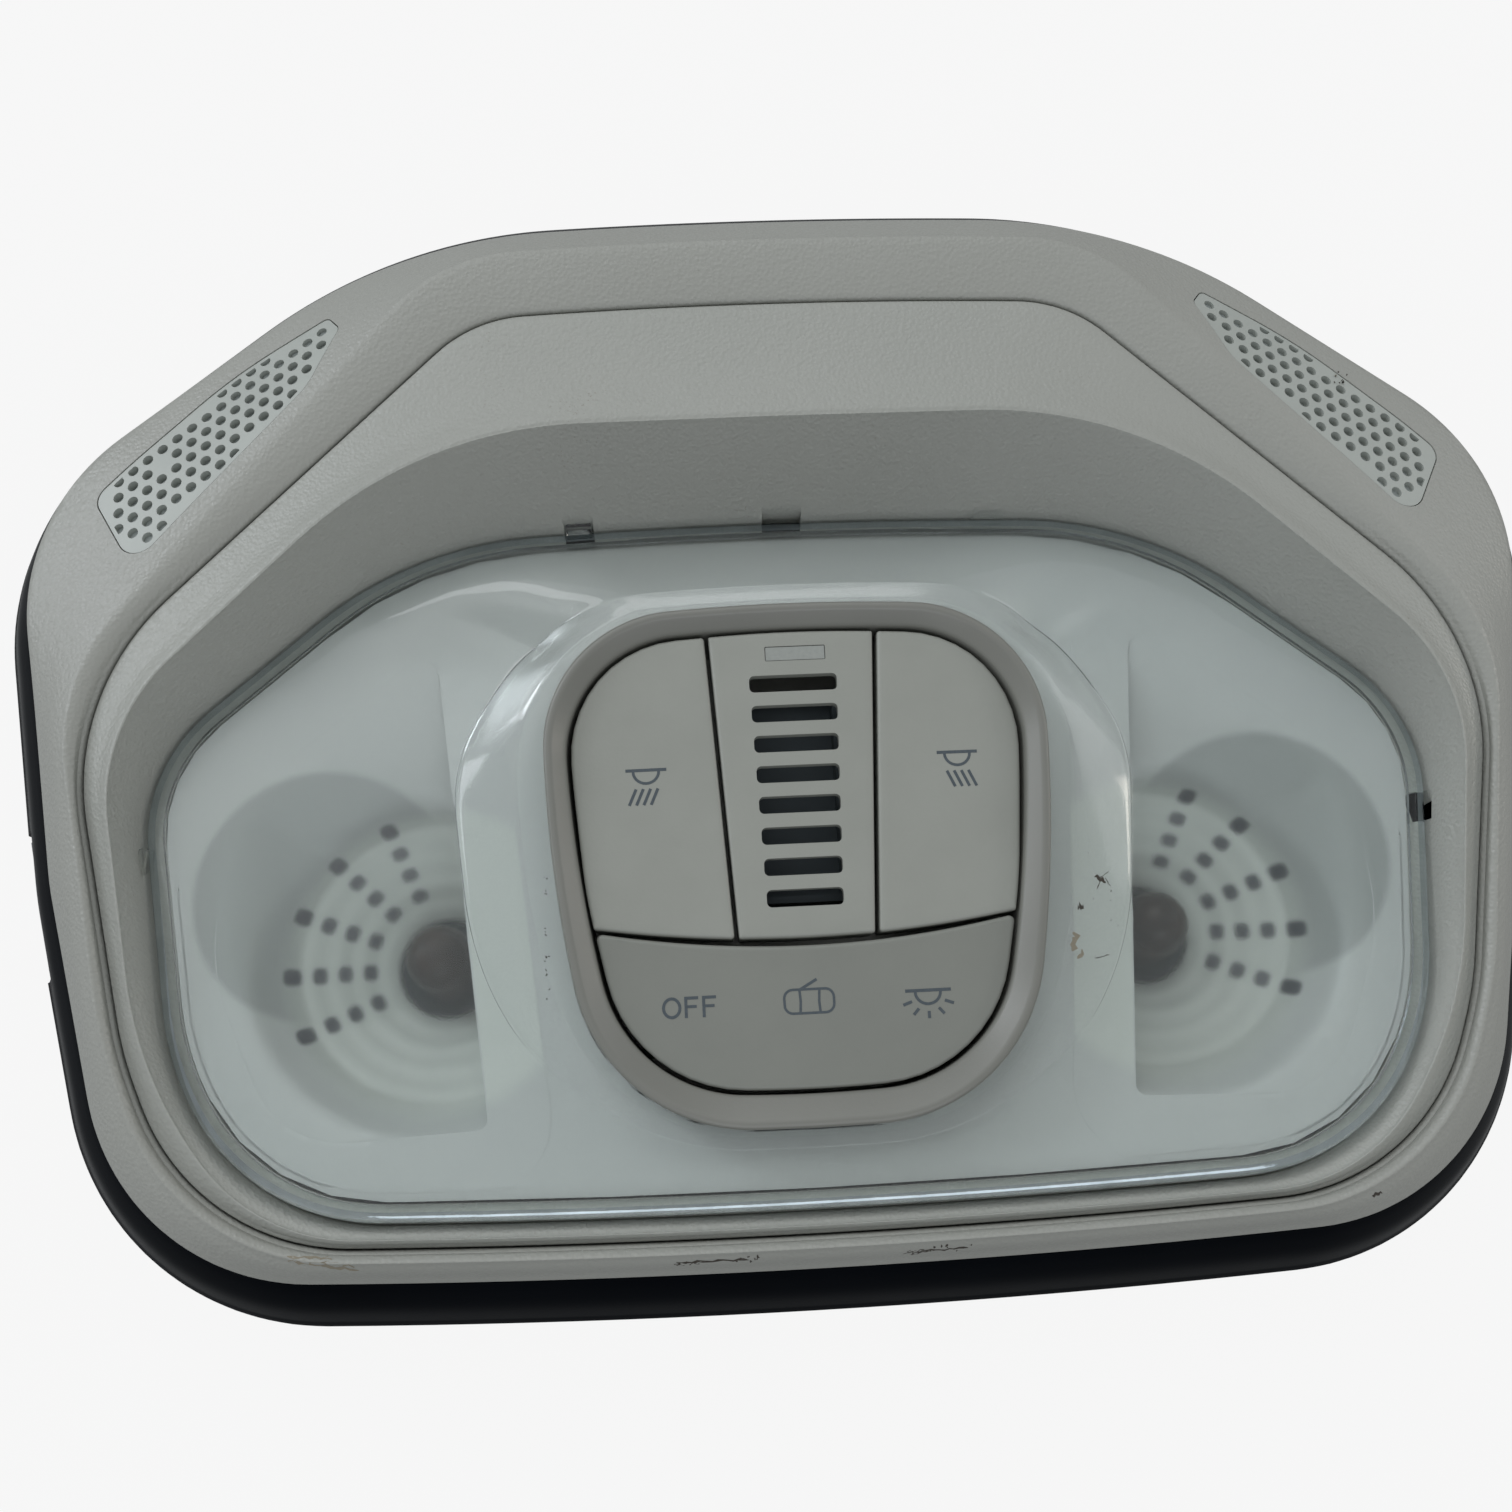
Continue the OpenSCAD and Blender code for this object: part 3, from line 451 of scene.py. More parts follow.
# Smooth moulded ABS: paler than the bezel, with a soft even sheen
grille_abs = mottled("pale_abs_perforated", "#aaaea8", "#9ea39e", (9, 4.0), (0.8, 2.0), (0.25, 0.05),
                     Roughness=0.42, IOR=1.53)


def dark_moulding(name, tone, shade, gloss, grit, shine=0.4):
    """Black moulded plastic: fine mould grit in the bump and faint dust in the colour."""
    made, tree = material(name)
    spot = add(tree, "TexCoord").outputs["Object"]
    fine = add(tree, "TexNoise", Vector=spot, Scale=1 / (grit * mm), Detail=3.0)
    bump = add(tree, "Bump", Height=fine.outputs["Fac"], Strength=0.2, Distance=0.05 * mm)
    cloud = add(tree, "TexNoise", Vector=spot, Scale=1 / (14 * mm), Detail=6.0, Roughness=0.65)
    tint = add(tree, "Mix", {"data_type": "RGBA"}, Factor=cloud.outputs["Fac"], _6=linear(tone),
               _7=linear(shade))
    rough = add(tree, "MapRange", Value=cloud.outputs["Fac"], To_Min=gloss - 0.07,
                To_Max=gloss + 0.1)
    skin = add(tree, "BsdfPrincipled", Base_Color=tint.outputs[2], Roughness=rough.outputs[0],
               Normal=bump.outputs[0], IOR=1.5, Specular_IOR_Level=shine)
    add(tree, "OutputMaterial", Surface=skin.outputs[0])
    return made


def finish(node, made):
    """Give a CAD node its material."""
    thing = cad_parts[node]
    if not thing.material_slots:
        thing.data.materials.append(made)
    for socket in thing.material_slots:
        socket.material = made


def inside(p, c):
    """How far a point lies within a clockwise outline."""
    n = len(c)
    steps = [c[(i + 1) % n] - c[i] for i in range(n)]
    return min(np.cross(steps[i], c[i] - p) / max(1e-6, np.hypot(*steps[i])) for i in range(n)
               if np.hypot(*(c[(i + 1) % n] - c[i])) > 1e-4)


capsule_black = dark_moulding("aluminium_capsule_black", "#15181b", "#22262a", 0.35, 0.3)
rim_line = curve(grown(grille_c, -0.16), 4)
hole_line = curve(grown(grille_c, -0.75), 8)
turned = math.radians(1.8)
for side, blank, s in (("left", blanks[0], -1), ("right", blanks[1], 1)):
    blank.name = "grille_insert_" + side
    blank.data.materials.clear()
    blank.data.materials.append(grille_abs)
    holes = bmesh.new()
    for i in range(-10, 11):
        for j in range(-2, 6):
            x, y = (i + (0.5 if j % 2 else 0)) * 2.73, 2.85 - j * 2.41
            x, y = x * math.cos(turned) - y * math.sin(turned), x * math.sin(turned) + y * math.cos(turned)
            if inside(np.array((x, y)), rim_line) > 0.75:
                spot = Matrix.Translation((x * mm, y * mm, 0))
                bmesh.ops.create_cone(holes, cap_ends=True, segments=20, radius1=0.87 * mm, radius2=0.87 * mm,
                                      depth=8 * mm, matrix=shoulder(s) @ spot)
    bmesh.ops.recalc_face_normals(holes, faces=holes.faces)
    drill_mesh = bpy.data.meshes.new("drill")
    holes.to_mesh(drill_mesh)
    holes.free()
    drill = place("drill", drill_mesh)
    carve(drill, [cutter(hole_line, -9, 9, shoulder(s))], how="INTERSECT")
    carve(blank, [drill], 30)
    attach(blank, "housing")
    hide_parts("grille_" + side)
    finish("microphone_" + side, capsule_black)


# Acoustic fleece
# Grey needled felt stuck behind each grille: it keeps dust off the microphone and closes the
# view through the holes. Its fuzz of 0.18 mm leaves no sheen at all.
fleece = mottled("grey_acoustic_fleece", "#a9afad", "#979e9c", (0.18, 4.0, 0.7), (0.18, 4.0, 0.7),
                 (0.6, 0.08), Roughness=0.95)


def placed(where, outline, z):
    """An outline at height z of a local frame, as points in mm."""
    return [tuple(v / mm for v in where @ Vector((x * mm, y * mm, z * mm))) for x, y in outline]


fleece_line = curve(grown(grille_c, -0.3), 8)
for side, s in (("left", -1), ("right", 1)):
    shell("fleece_" + side, [placed(shoulder(s), fleece_line, z) for z in (-1.05, -1.4)], [fleece],
          "housing", closed=False)


# Back frame and housing
# Black glass-filled nylon: the flared frame that the trim clips on, with a clip notch in each
# side, and the deep rear housing that is screwed to the roof; semi-gloss with fine dust.
frame_nylon = dark_moulding("black_nylon_semi_gloss", "#020408", "#05090f", 0.22, 0.5, 0.02)
housing_nylon = dark_moulding("black_nylon_matt", "#101418", "#1a2026", 0.5, 0.8)
flare_s = star(grown(edge_o, 7.5))
skirt = shell("frame_skin", [at(flare_s, 22.6), at(flare_s, 24.0), rim_at(edge_o, 7.4, 24.4)]
              + flow([rim_at(edge_o, 6.9, 25.0), rim_at(edge_o, 4.65, 29.5), rim_at(edge_o, 2.25, 32.6),
                      rim_at(edge_o, 0.4, 34.6)])
              + [rim_at(edge_o, -3, 34.6), rim_at(edge_o, -3.4, 30.4), rim_at(groove_o, -8.4, 30.4),
                 rim_at(groove_o, -8.4, 28), rim_at(edge_o, 0.6, 28), rim_at(edge_o, 5.3, 22.6)],
              [frame_nylon], "housing", replaces=["back_frame"])


def lip(side):
    """Place of a clip notch: y along the lip of the frame, x out of it."""
    m = Matrix.Translation(Vector((115.4, -23.5, 0)) * mm) @ Matrix.Rotation(math.radians(-10.1), 4, "Z")
    return Matrix.Diagonal((side, 1, 1, 1)) @ m


notch = [(-1.3, -11.5), (-1.3, 11.5), (6.7, 11.5), (6.7, -11.5)]
carve(skirt, [cutter(notch, 19, 29, lip(s)) for s in (-1, 1)])
finish("rear_housing", housing_nylon)


# Reflector panel
# White ABS panel behind the lens, moulded with a fine spark-eroded texture that scatters the
# light; it has a window over each lamp, and the chambers are of the same plastic.
def white_abs(name, painted_pockets):
    """Textured white ABS. If asked for, it carries painted shade as well: the round dish darkened, and dark
    dashes in rings and rows round the lamp holes for the shade inside each pocket.
    """
    made, tree = material(name)
    spot = add(tree, "TexCoord").outputs["Object"]
    fine = add(tree, "TexNoise", Vector=spot, Scale=1 / (0.45 * mm), Detail=2.0)
    bump = add(tree, "Bump", Height=fine.outputs["Fac"], Strength=0.25, Distance=0.06 * mm)
    cloud = add(tree, "TexNoise", Vector=spot, Scale=1 / (25 * mm), Detail=4.0)
    colour = add(tree, "Mix", {"data_type": "RGBA"}, Factor=cloud.outputs["Fac"],
                 _6=linear("#abadab"), _7=linear("#a1a4a2")).outputs[2]
    if painted_pockets:
        axis = add(tree, "SeparateXYZ", Vector=spot)
        pitch, rows = 3.4, 15
        # Each line is a result, a Math operation and its terms; the two lamps mirror each other
        found = {"X": axis.outputs["X"], "Y": axis.outputs["Y"]}
        for result, operation, *terms in (
                ("right", "ABSOLUTE", "X"),
                ("across", "SUBTRACT", "right", 54.3 * mm),
                ("up", "SUBTRACT", "Y", -34.9 * mm),
                ("angle", "ARCTAN2", "up", "across"),
                ("across_2", "POWER", "across", 2.0),
                ("up_2", "POWER", "up", 2.0),
                ("radius_2", "ADD", "across_2", "up_2"),
                ("radius", "SQRT", "radius_2"),
                ("turn", "MULTIPLY_ADD", "angle", rows / math.tau, 4.646),
                ("in_row", "FRACT", "turn"),
                ("off_row", "SUBTRACT", "in_row", 0.5),
                ("arc", "MULTIPLY", "off_row", "radius"),
                ("arc_share", "MULTIPLY", "arc", math.tau / rows / (1.25 * mm)),
                ("arc_size", "ABSOLUTE", "arc_share"),
                ("arc_edge", "POWER", "arc_size", 3.0),
                ("ring", "MULTIPLY_ADD", "radius", 1 / (pitch * mm), 3.5 - 11.7 / pitch),
                ("in_ring", "FRACT", "ring"),
                ("off_ring", "SUBTRACT", "in_ring", 0.5),
                ("deep", "MULTIPLY", "off_ring", pitch / 0.95),
                ("deep_size", "ABSOLUTE", "deep"),
                ("deep_edge", "POWER", "deep_size", 3.0),
                ("edge", "ADD", "arc_edge", "deep_edge"),
                ("near", "LESS_THAN", "radius", 23.3 * mm),
                ("far", "GREATER_THAN", "radius", 10.0 * mm),
                ("below_top", "LESS_THAN", "angle", math.radians(81)),
                ("above_low", "GREATER_THAN", "angle", math.radians(-38)),
                ("band", "MULTIPLY", "near", "far"),
                ("wedge", "MULTIPLY", "below_top", "above_low"),
                ("field", "MULTIPLY", "band", "wedge"),
                ("dish_across", "SUBTRACT", "right", 70 * mm),
                ("dish_across_2", "POWER", "dish_across", 2.0),
                ("dish_up", "SUBTRACT", "Y", -24.9 * mm),
                ("dish_up_2", "POWER", "dish_up", 2.0),
                ("dish_2", "ADD", "dish_across_2", "dish_up_2"),
                ("from_dish", "SQRT", "dish_2")):
            sockets = {"_%d" % i: found.get(term, term) for i, term in enumerate(terms)}
            found[result] = add(tree, "Math", {"operation": operation}, **sockets).outputs[0]
        # Painted shade: the round dish is darkened, and dark dashes in rows and rings round the lamp hole
        # stand for the shade inside each small pocket of the funnel.
        soft = {"interpolation_type": "SMOOTHSTEP"}
        dish = add(tree, "MapRange", soft, Value=found["from_dish"], From_Min=19.6 * mm,
                   From_Max=18.0 * mm, To_Max=0.6)
        pale = add(tree, "MapRange", soft, Value=found["radius"], From_Min=24 * mm,
                   From_Max=21 * mm, To_Max=0.75)
        pocket_shade = add(tree, "MapRange", soft, Value=found["edge"], From_Min=1.9, From_Max=0.2)
        dark = add(tree, "Math", {"operation": "MULTIPLY"}, _0=pocket_shade.outputs[0], _1=found["field"])
        for share, tone in ((dish, "#6c726f"), (pale, "#b4b8b2"), (dark, "#20262f")):
            colour = add(tree, "Mix", {"data_type": "RGBA"}, Factor=share.outputs[0], _6=colour,
                         _7=linear(tone)).outputs[2]
    skin = add(tree, "BsdfPrincipled", Base_Color=colour, Roughness=0.42, Normal=bump.outputs[0])
    add(tree, "OutputMaterial", Surface=skin.outputs[0])
    return made


panel_white = white_abs("white_abs_textured", False)
finish("reflector_panel", panel_white)


# Lamp bowls
# White ABS chambers under the windows of the panel: the floor ramps down from the rim to the inner wall, with
# a round dish and a terraced funnel round the lamp hole. The dish is darkened and each small pocket of the
# funnel is a dark dash, both painted shade.
chamber_c = [(54, 14, 3), (84.5, -11, 9), (85.5, -36, 30), (75, -60.5, 14), (46, -59.5, 1.5)]
lamp_at = np.array((54.3, -33.6))
lean = math.atan(lens_slope)


def optic(x, y, z):
    """Point of the leaning frame of lens, panel and lamps in the frame of the light."""
    y = y - level_y
    return (x, y * math.cos(lean) - z * math.sin(lean) + level_y,
            y * math.sin(lean) + z * math.cos(lean) + lens_z)


def rays_from(centre, c, n):
    """How far an outline lies from the centre, along n rays."""
    q = curve(c) - centre
    nxt = np.roll(q, -1, axis=0)
    found = []
    for i in range(n):
        a = math.tau * (i + 0.5) / n
        d = (math.cos(a), math.sin(a))
        e = q[:, 0] * d[1] - q[:, 1] * d[0]
        f = nxt[:, 0] * d[1] - nxt[:, 1] * d[0]
        cross = np.flatnonzero((e > 0) != (f > 0))
        met = q[cross] + (nxt[cross] - q[cross]) * (e[cross] / (e[cross] - f[cross]))[:, None]
        found.append(max(met @ np.array(d)))
    return np.array(found)


rim_points = curve(chamber_c, 12)


def bowl_height(x, y):
    """Floor of a chamber: it sinks softly from the rim to the lamp, with a dish and a funnel."""
    p = np.array((x, y))
    a, b = rim_points, np.roll(rim_points, -1, axis=0)
    step = b - a
    t = np.clip(((p - a) * step).sum(axis=1) / np.maximum(1e-9, (step ** 2).sum(axis=1)), 0, 1)
    gap = np.hypot(*(a + step * t[:, None] - p).T)
    outside = (a[:, 0] + b[:, 0]) / 2 > 56
    near = gap[outside].min()
    t = min(1, near / 32)
    z = -2.46 - 8.5 * t * t * (3 - 2 * t)
    far = math.hypot(x - 70, y + 23.6) / 18.8
    t = min(1, near / 9)
    z -= 3.0 * max(0, 1 - far * far) * t * t * (3 - 2 * t)
    r = math.hypot(x - lamp_at[0], y - lamp_at[1])
    funnel = -18.5 + 0.52 * (r - 8.4) + 1.1 * max(0, r - 21) + 0.12 * math.sin(math.tau * (r - 8.4) / 3.4)
    return 0.5 * (z + funnel - math.hypot(z - funnel, 1.2))


# Chamber plastic with painted shade on it: the darkened dish and the dark dashes.
chamber_white = white_abs("white_abs_chamber", True)
holder_black = dark_moulding("bulb_holder_pbt", "#07161a", "#0b1d20", 0.5, 0.6, 0.15)

# Bulb glass behind the frosted lens: nearly black as painted shade of the lamp hole, with a brown cast
bulb_glass = mottled("amber_bulb_glass_painted_hole_shade", "#03151a", "#2e1a08", (5, 2.0), Roughness=0.25, IOR=1.5,
                     Specular_IOR_Level=0.2)

spokes = 240
wall_r = rays_from(lamp_at, chamber_c, spokes)
panel_edge = rays_from(lamp_at, grown(lens_o, -2.9), spokes)
lips = [np.minimum(rays_from(lamp_at, grown(chamber_c, d), spokes), panel_edge - 0.1 * d)
        for d in (9, 6, 4, 2, 0.9, 0.25)][::-1]
turns = [math.tau * (i + 0.5) / spokes for i in range(spokes)]
holder_r, holder_z = 7.8, -20.9


def around(radii):
    """Points round the lamp, one at each turn, at the given radii."""
    return [(lamp_at[0] + r * math.cos(a), lamp_at[1] + r * math.sin(a)) for r, a in zip(radii, turns)]


rows = [[(x, y, holder_z) for x, y in around([holder_r] * spokes)]]
levels = [[holder_r + 0.4 * k] * spokes for k in range(39)]
levels += [[23.0 + (w - 23.0) * t if w > 23.0 else w for w in wall_r] for t in np.linspace(0, 1, 16)[1:]]
for level in levels:
    spun = around([min(r, max(w, holder_r + 0.05)) for r, w in zip(level, wall_r)])
    rows.append([(x, y, bowl_height(x, y)) for x, y in spun])
rows.append([(x, y, max(z, -3.3)) for x, y, z in rows[-1]])
for lip_r, z in zip([*lips, lips[-1], lips[0]], (-2.46, -2.45, -2.45, -2.45, -2.45, -2.45, -2.62, -2.62)):
    rows.append([(x, y, z) for x, y in around(lip_r)])
rows.append([(x, y, min(bowl_height(x, y), -5.0) - 1.5) for x, y in around(lips[0])])
for r in (22.0, 14.0, 9.4):
    rows.append([(x, y, bowl_height(x, y) - 1.6) for x, y in around(np.minimum(r, lips[0]))])
rows.append([(x, y, holder_z) for x, y in around([9.4] * spokes)])
for side, s in (("left", -1), ("right", 1)):
    shell("chamber_" + side, [[optic(s * x, y, z) for x, y, z in row] for row in rows], [chamber_white],
          "housing", 40, ["lamp_bowl_" + side])
    finish("bulb_holder_" + side, holder_black)
    finish("bulb_" + side, bulb_glass)


# Lens
# One clear polycarbonate moulding over both lamps, glossy outside and frosted behind: raised and
# level round the switches, with crescent steps down to the flat windows at the sides.
def clear_pc(name, rough, grit, depth, milk):
    """Polycarbonate with real refraction; a shadow passes through it almost undimmed, and a
    frosted side scatters a share of the light in fine sparkling grains."""
    made, tree = material(name)
    spot = add(tree, "TexCoord").outputs["Object"]
    fine = add(tree, "TexNoise", Vector=spot, Scale=1 / (grit * mm), Detail=2.0)
    bump = add(tree, "Bump", Height=fine.outputs["Fac"], Strength=0.3, Distance=depth * mm)
    smear = add(tree, "TexNoise", Vector=spot, Scale=1 / (26 * mm), Detail=5.0)
    dull = add(tree, "MapRange", Value=smear.outputs["Fac"], To_Min=max(0.0, rough - 0.03),
               To_Max=rough + 0.05)
    body = add(tree, "BsdfPrincipled", Base_Color=linear("#f8faf8"), Roughness=dull.outputs[0],
               IOR=1.53, Transmission_Weight=1.0, Normal=bump.outputs[0])
    grains = add(tree, "TexNoise", Vector=spot, Scale=1 / (0.32 * mm), Detail=3.0, Roughness=0.7)
    veil = add(tree, "MapRange", Value=grains.outputs["Fac"], From_Min=0.35, From_Max=0.75,
               To_Min=milk * 0.6, To_Max=milk * 1.9)
    haze = add(tree, "BsdfDiffuse", Color=linear("#c4c8c6"))
    body = add(tree, "MixShader", _0=veil.outputs[0], _1=body.outputs[0], _2=haze.outputs[0])
    ray = add(tree, "LightPath")
    clear = add(tree, "BsdfTransparent", Color=linear("#eef3f4"))
    both = add(tree, "MixShader", _0=ray.outputs["Is Shadow Ray"], _1=body.outputs[0],
               _2=clear.outputs[0])
    add(tree, "OutputMaterial", Surface=both.outputs[0])
    return made


lens_front = clear_pc("clear_polycarbonate_polished", 0.03, 3.0, 0.01, 0.0)
lens_back = clear_pc("clear_polycarbonate_frosted", 0.18, 0.35, 0.05, 0.05)
lens_step = clear_pc("clear_polycarbonate_grained", 0.08, 0.4, 0.02, 0.06)
ring_o = full([(0, 14.4, 300), (37, 12.2, 20), (36.4, -14.1, 200), (34.9, -30.7, 200), (29.1, -60.9, 25.4),
               (0, -61.3, 200)])
foot_s = star(grown(ring_o, 0.3))


def on_rim(d, rise):
    """Section of the flat rim, d mm outside the edge of the lens."""
    return rim_at(lens_o, d, lens_z + rise, lens_slope)


pad_z = 42


def on_pad(t, top, side, drop=0.0):
    """Section of the raised pad: share t of the way from the rim of the lens to the ring, and the
    shares of the full rise above the ring and beside it."""
    q = mix(lens_s, foot_s, t)
    s = (np.clip((np.abs(q[:, 0]) - 24) / 14, 0, 1) * np.clip((21 - q[:, 1]) / 9, 0, 1)
         * np.clip((q[:, 1] + 64) / 16, 0, 1))
    m = top * (1 - s) + side * s
    low = lens_z + lens_slope * (q[:, 1] - level_y)
    return np.column_stack((q, low * (1 - m) + pad_z * m - drop))


# The rim is polished round the edge, where light caught inside the clear plastic comes out
rim_glint, tree = material("clear_polycarbonate_rim")
spot = add(tree, "TexCoord").outputs["Object"]
ripple = add(tree, "TexNoise", Vector=spot, Scale=1 / (7 * mm), Detail=3.0)
bump = add(tree, "Bump", Height=ripple.outputs["Fac"], Strength=0.3, Distance=0.4 * mm)
glint = add(tree, "Mix", {"data_type": "RGBA"}, Factor=ripple.outputs["Fac"], _6=linear("#c9d4da"),
            _7=linear("#7f8b93"))
mirror = add(tree, "BsdfAnisotropic", Color=glint.outputs[2], Roughness=0.09,
             Normal=bump.outputs[0])
clear = add(tree, "BsdfPrincipled", Base_Color=linear("#f8faf8"), Roughness=0.05, IOR=1.53,
            Transmission_Weight=1.0)
both = add(tree, "MixShader", _0=0.55, _1=clear.outputs[0], _2=mirror.outputs[0])
add(tree, "OutputMaterial", Surface=both.outputs[0])
lens_sections = [at(lens_s, lens_z - 3, lens_slope), at(lens_s, lens_z - 1.1, lens_slope),
                 on_rim(-0.3, -0.5), on_rim(-0.8, -0.14), on_rim(-1.5, 0)]
rim_count = len(lens_sections) - 1
lens_sections += flow([on_rim(-1.7, 0), on_pad(0.3, 0.3, 0.12), on_pad(0.6, 0.66, 0.24),
                       on_pad(0.77, 0.87, 0.31)], 5)
step_from = len(lens_sections)
lens_sections += flow([on_pad(0.778, 0.878, 0.33), on_pad(0.79, 0.887, 0.4), on_pad(0.85, 0.93, 0.67),
                       on_pad(0.92, 0.972, 0.92)], 4)
step_to = len(lens_sections)
lens_sections += flow([on_pad(0.932, 0.976, 0.95), on_pad(0.95, 0.984, 0.97), on_pad(1, 1, 1)], 4)
clear_count = len(lens_sections)
lens_sections += flow([on_pad(1, 1, 1, 2.2), on_pad(0.92, 0.97, 0.9, 2.2), on_pad(0.78, 0.88, 0.4, 2.2),
                       on_pad(0.72, 0.82, 0.3, 2.2), on_pad(0.3, 0.3, 0.12, 2.2), on_rim(-2.2, -2.2)], 5)
lens_sections += [on_rim(-2.2, -3)]
lens = shell("lens_moulding", lens_sections, [lens_front, lens_back, lens_step, rim_glint], "housing",
             replaces=["lens"])
for face in lens.data.polygons:
    row = face.index // ray_count
    if clear_count <= row < len(lens_sections) - 2:
        face.material_index = 1
    elif step_from <= row < step_to:
        face.material_index = 2
    elif row < rim_count:
        face.material_index = 3

# Snap lugs of the lens, in slots of the surround: x or y along the outline, angle, width
lugs = [(lens_edge(x=-31.5), 2, 4.0), (lens_edge(x=33.2), -2, 5.0), (lens_edge(y=-19, side=-1), 81, 4.0)]
for k, (point, angle, width) in enumerate(lugs):
    low = lens_z + lens_slope * (point[1] - level_y)
    sections = []
    for grow, z in ((0, low - 2), (0, low + 0.55), (-0.2, low + 0.8)):
        c = [(-width / 2 - grow, 1.2 + grow, 0.3), (width / 2 + grow, 1.2 + grow, 0.3),
             (width / 2 + grow, 0.05, 0.1), (-width / 2 - grow, 0.05, 0.1)]
        sections.append(placed(beside(point, angle), curve(c, 4), z))
    shell("lens_lug_%d" % k, sections, [lens_front], "housing", closed=False)


# Switch ring
# Smooth ABS ring round the switches, with a rounded lip and a bevel down to the keys; moulded
# against fine-blasted steel, which gives it a soft satin sheen.
satin = mottled("satin_grey_abs", "#7f7f79", "#74756f", (22, 4.0), (0.4, 3.0, 0.6), (0.35, 0.05),
                Roughness=0.36, IOR=1.53)
field_o = full([(0, 10.9, 300), (34.4, 9.1, 17.4), (33.2, -12.3, 200), (31.8, -28, 200),
                (25.8, -55.7, 20.9), (0, -56.9, 200)])
shell("switch_ring_skin", [at(star(ring_o), 29), at(star(ring_o), 45.3), rim_at(ring_o, -0.12, 45.7),
                           rim_at(ring_o, -0.4, 45.93), rim_at(ring_o, -0.8, 46.0),
                           rim_at(ring_o, -1.1, 45.97), rim_at(ring_o, -1.45, 45.75),
                           rim_at(field_o, 0.45, 44.35), rim_at(field_o, 0.15, 44.1),
                           at(star(field_o), 43.75), at(star(field_o), 29)],
      [satin], "housing", sharp=50, replaces=["switch_ring"])


# Keys
# Three caps in soft-feel paint on ABS: two push keys, and a three-way rocker across the bottom that turns on
# a steel pin. A fine orange peel breaks up the sheen of the paint, and the rocker's paint is a darker tone
# than the keys'.
peel = {"cloud": (15, 5.0, 0.6), "grit": (0.55, 2.0), "relief": (0.35, 0.06), "Roughness": 0.42, "IOR": 1.5}
key_paint = mottled("soft_feel_paint_on_abs", "#9a9c95", "#8d8f88", **peel)
rocker_paint = mottled("soft_feel_paint_on_rocker", "#858780", "#7a7c76", **peel)


key_z = 44.0


def crown(x):
    """Drop of the key faces: a faint crown with falling flanks."""
    return x * x / 1800.0 + np.maximum(0, np.abs(x) - 26) ** 2 / 80.0


def cap(name, corners, low, body, replaces, paint=key_paint):
    """Open-backed key cap: rounded outer edges, wall and crowned top."""
    def line(d):
        return curve(grown(corners, -d), 10)

    def rim(d, z):
        return at(line(d), z - crown(line(d)[:, 0]))

    wall = 1.8
    outer = rim(0.62, key_z)
    inner = rim(wall, key_z - wall)
    rows = []
    for t in (0.02, 0.25, 0.5, 0.75, 0.92):
        q = mix(outer.mean(axis=0), outer, t)
        q[:, 2] = key_z - crown(q[:, 0])
        rows.append(q)
    rows += [outer, rim(0.36, key_z - 0.05), rim(0.15, key_z - 0.2), rim(0.04, key_z - 0.4),
             rim(0, key_z - 0.65)]
    rows += [at(line(0), low), at(line(wall), low), inner, mix(inner.mean(axis=0), inner, 0.02)]
    return shell(name, rows, [paint], body, 45, replaces, closed=False)


def bar_half(y):
    """Half the width of the gap between the push keys, which narrows towards the rocker."""
    return 10 + 2.5 * (y + 34.8) / 44.8


def bow(x, y0, r):
    """Edge that bows upward towards its ends, from y0 in the middle, with radius r."""
    return y0 + r - math.sqrt(r * r - x * x)


def meet(a, b, test):
    """Point of the line a-b where test changes sign."""
    a, b = np.array(a[:2], float), np.array(b[:2], float)
    for _ in range(40):
        m = (a + b) / 2
        if (test(m) > 0) == (test(a) > 0):
            a = m
        else:
            b = m
    return a


play = grown(field_o, -0.62)
right_top, right_up, right_mid, right_low, bottom = play[1], play[2], play[3], play[4], play[5]
top_mid = play[0]
key_end = meet(right_mid, right_low, lambda p: p[1] - bow(p[0], -35.1, 177))
bar_side = meet(top_mid, right_top, lambda p: p[0] - bar_half(p[1]) - 0.31)
foot_x = meet((5, 0), (15, 0), lambda p: p[0] - bar_half(bow(p[0], -35.1, 177)) - 0.31)[0]
key_c = [(bar_side[0], bar_side[1], 0.5), right_top, right_up, right_mid, (key_end[0], key_end[1], 0.8)]
key_c += [(x, bow(x, -35.1, 177), 170) for x in (25, 20, 15)]
key_c += [(foot_x, bow(foot_x, -35.1, 177), 0.5)]
cap("right_key_cap", key_c, 37, "right_key", ["right_key"])
cap("left_key_cap", [(-x, y, r) for x, y, r in key_c[::-1]], 37, "left_key", ["left_key"])
rock_end = meet(right_mid, right_low, lambda p: p[1] - bow(p[0], -36.2, 145))
rock_c = [(x, bow(x, -36.2, 145), 140) for x in (-24, -16, -8, 0, 8, 16, 24)]
rock_c += [(rock_end[0], rock_end[1], 0.8), right_low, bottom, (-right_low[0], right_low[1], right_low[2]),
           (-rock_end[0], rock_end[1], 0.8)]
cap("mode_rocker_cap", rock_c, 38.5, "mode_rocker", ["mode_rocker"], rocker_paint)


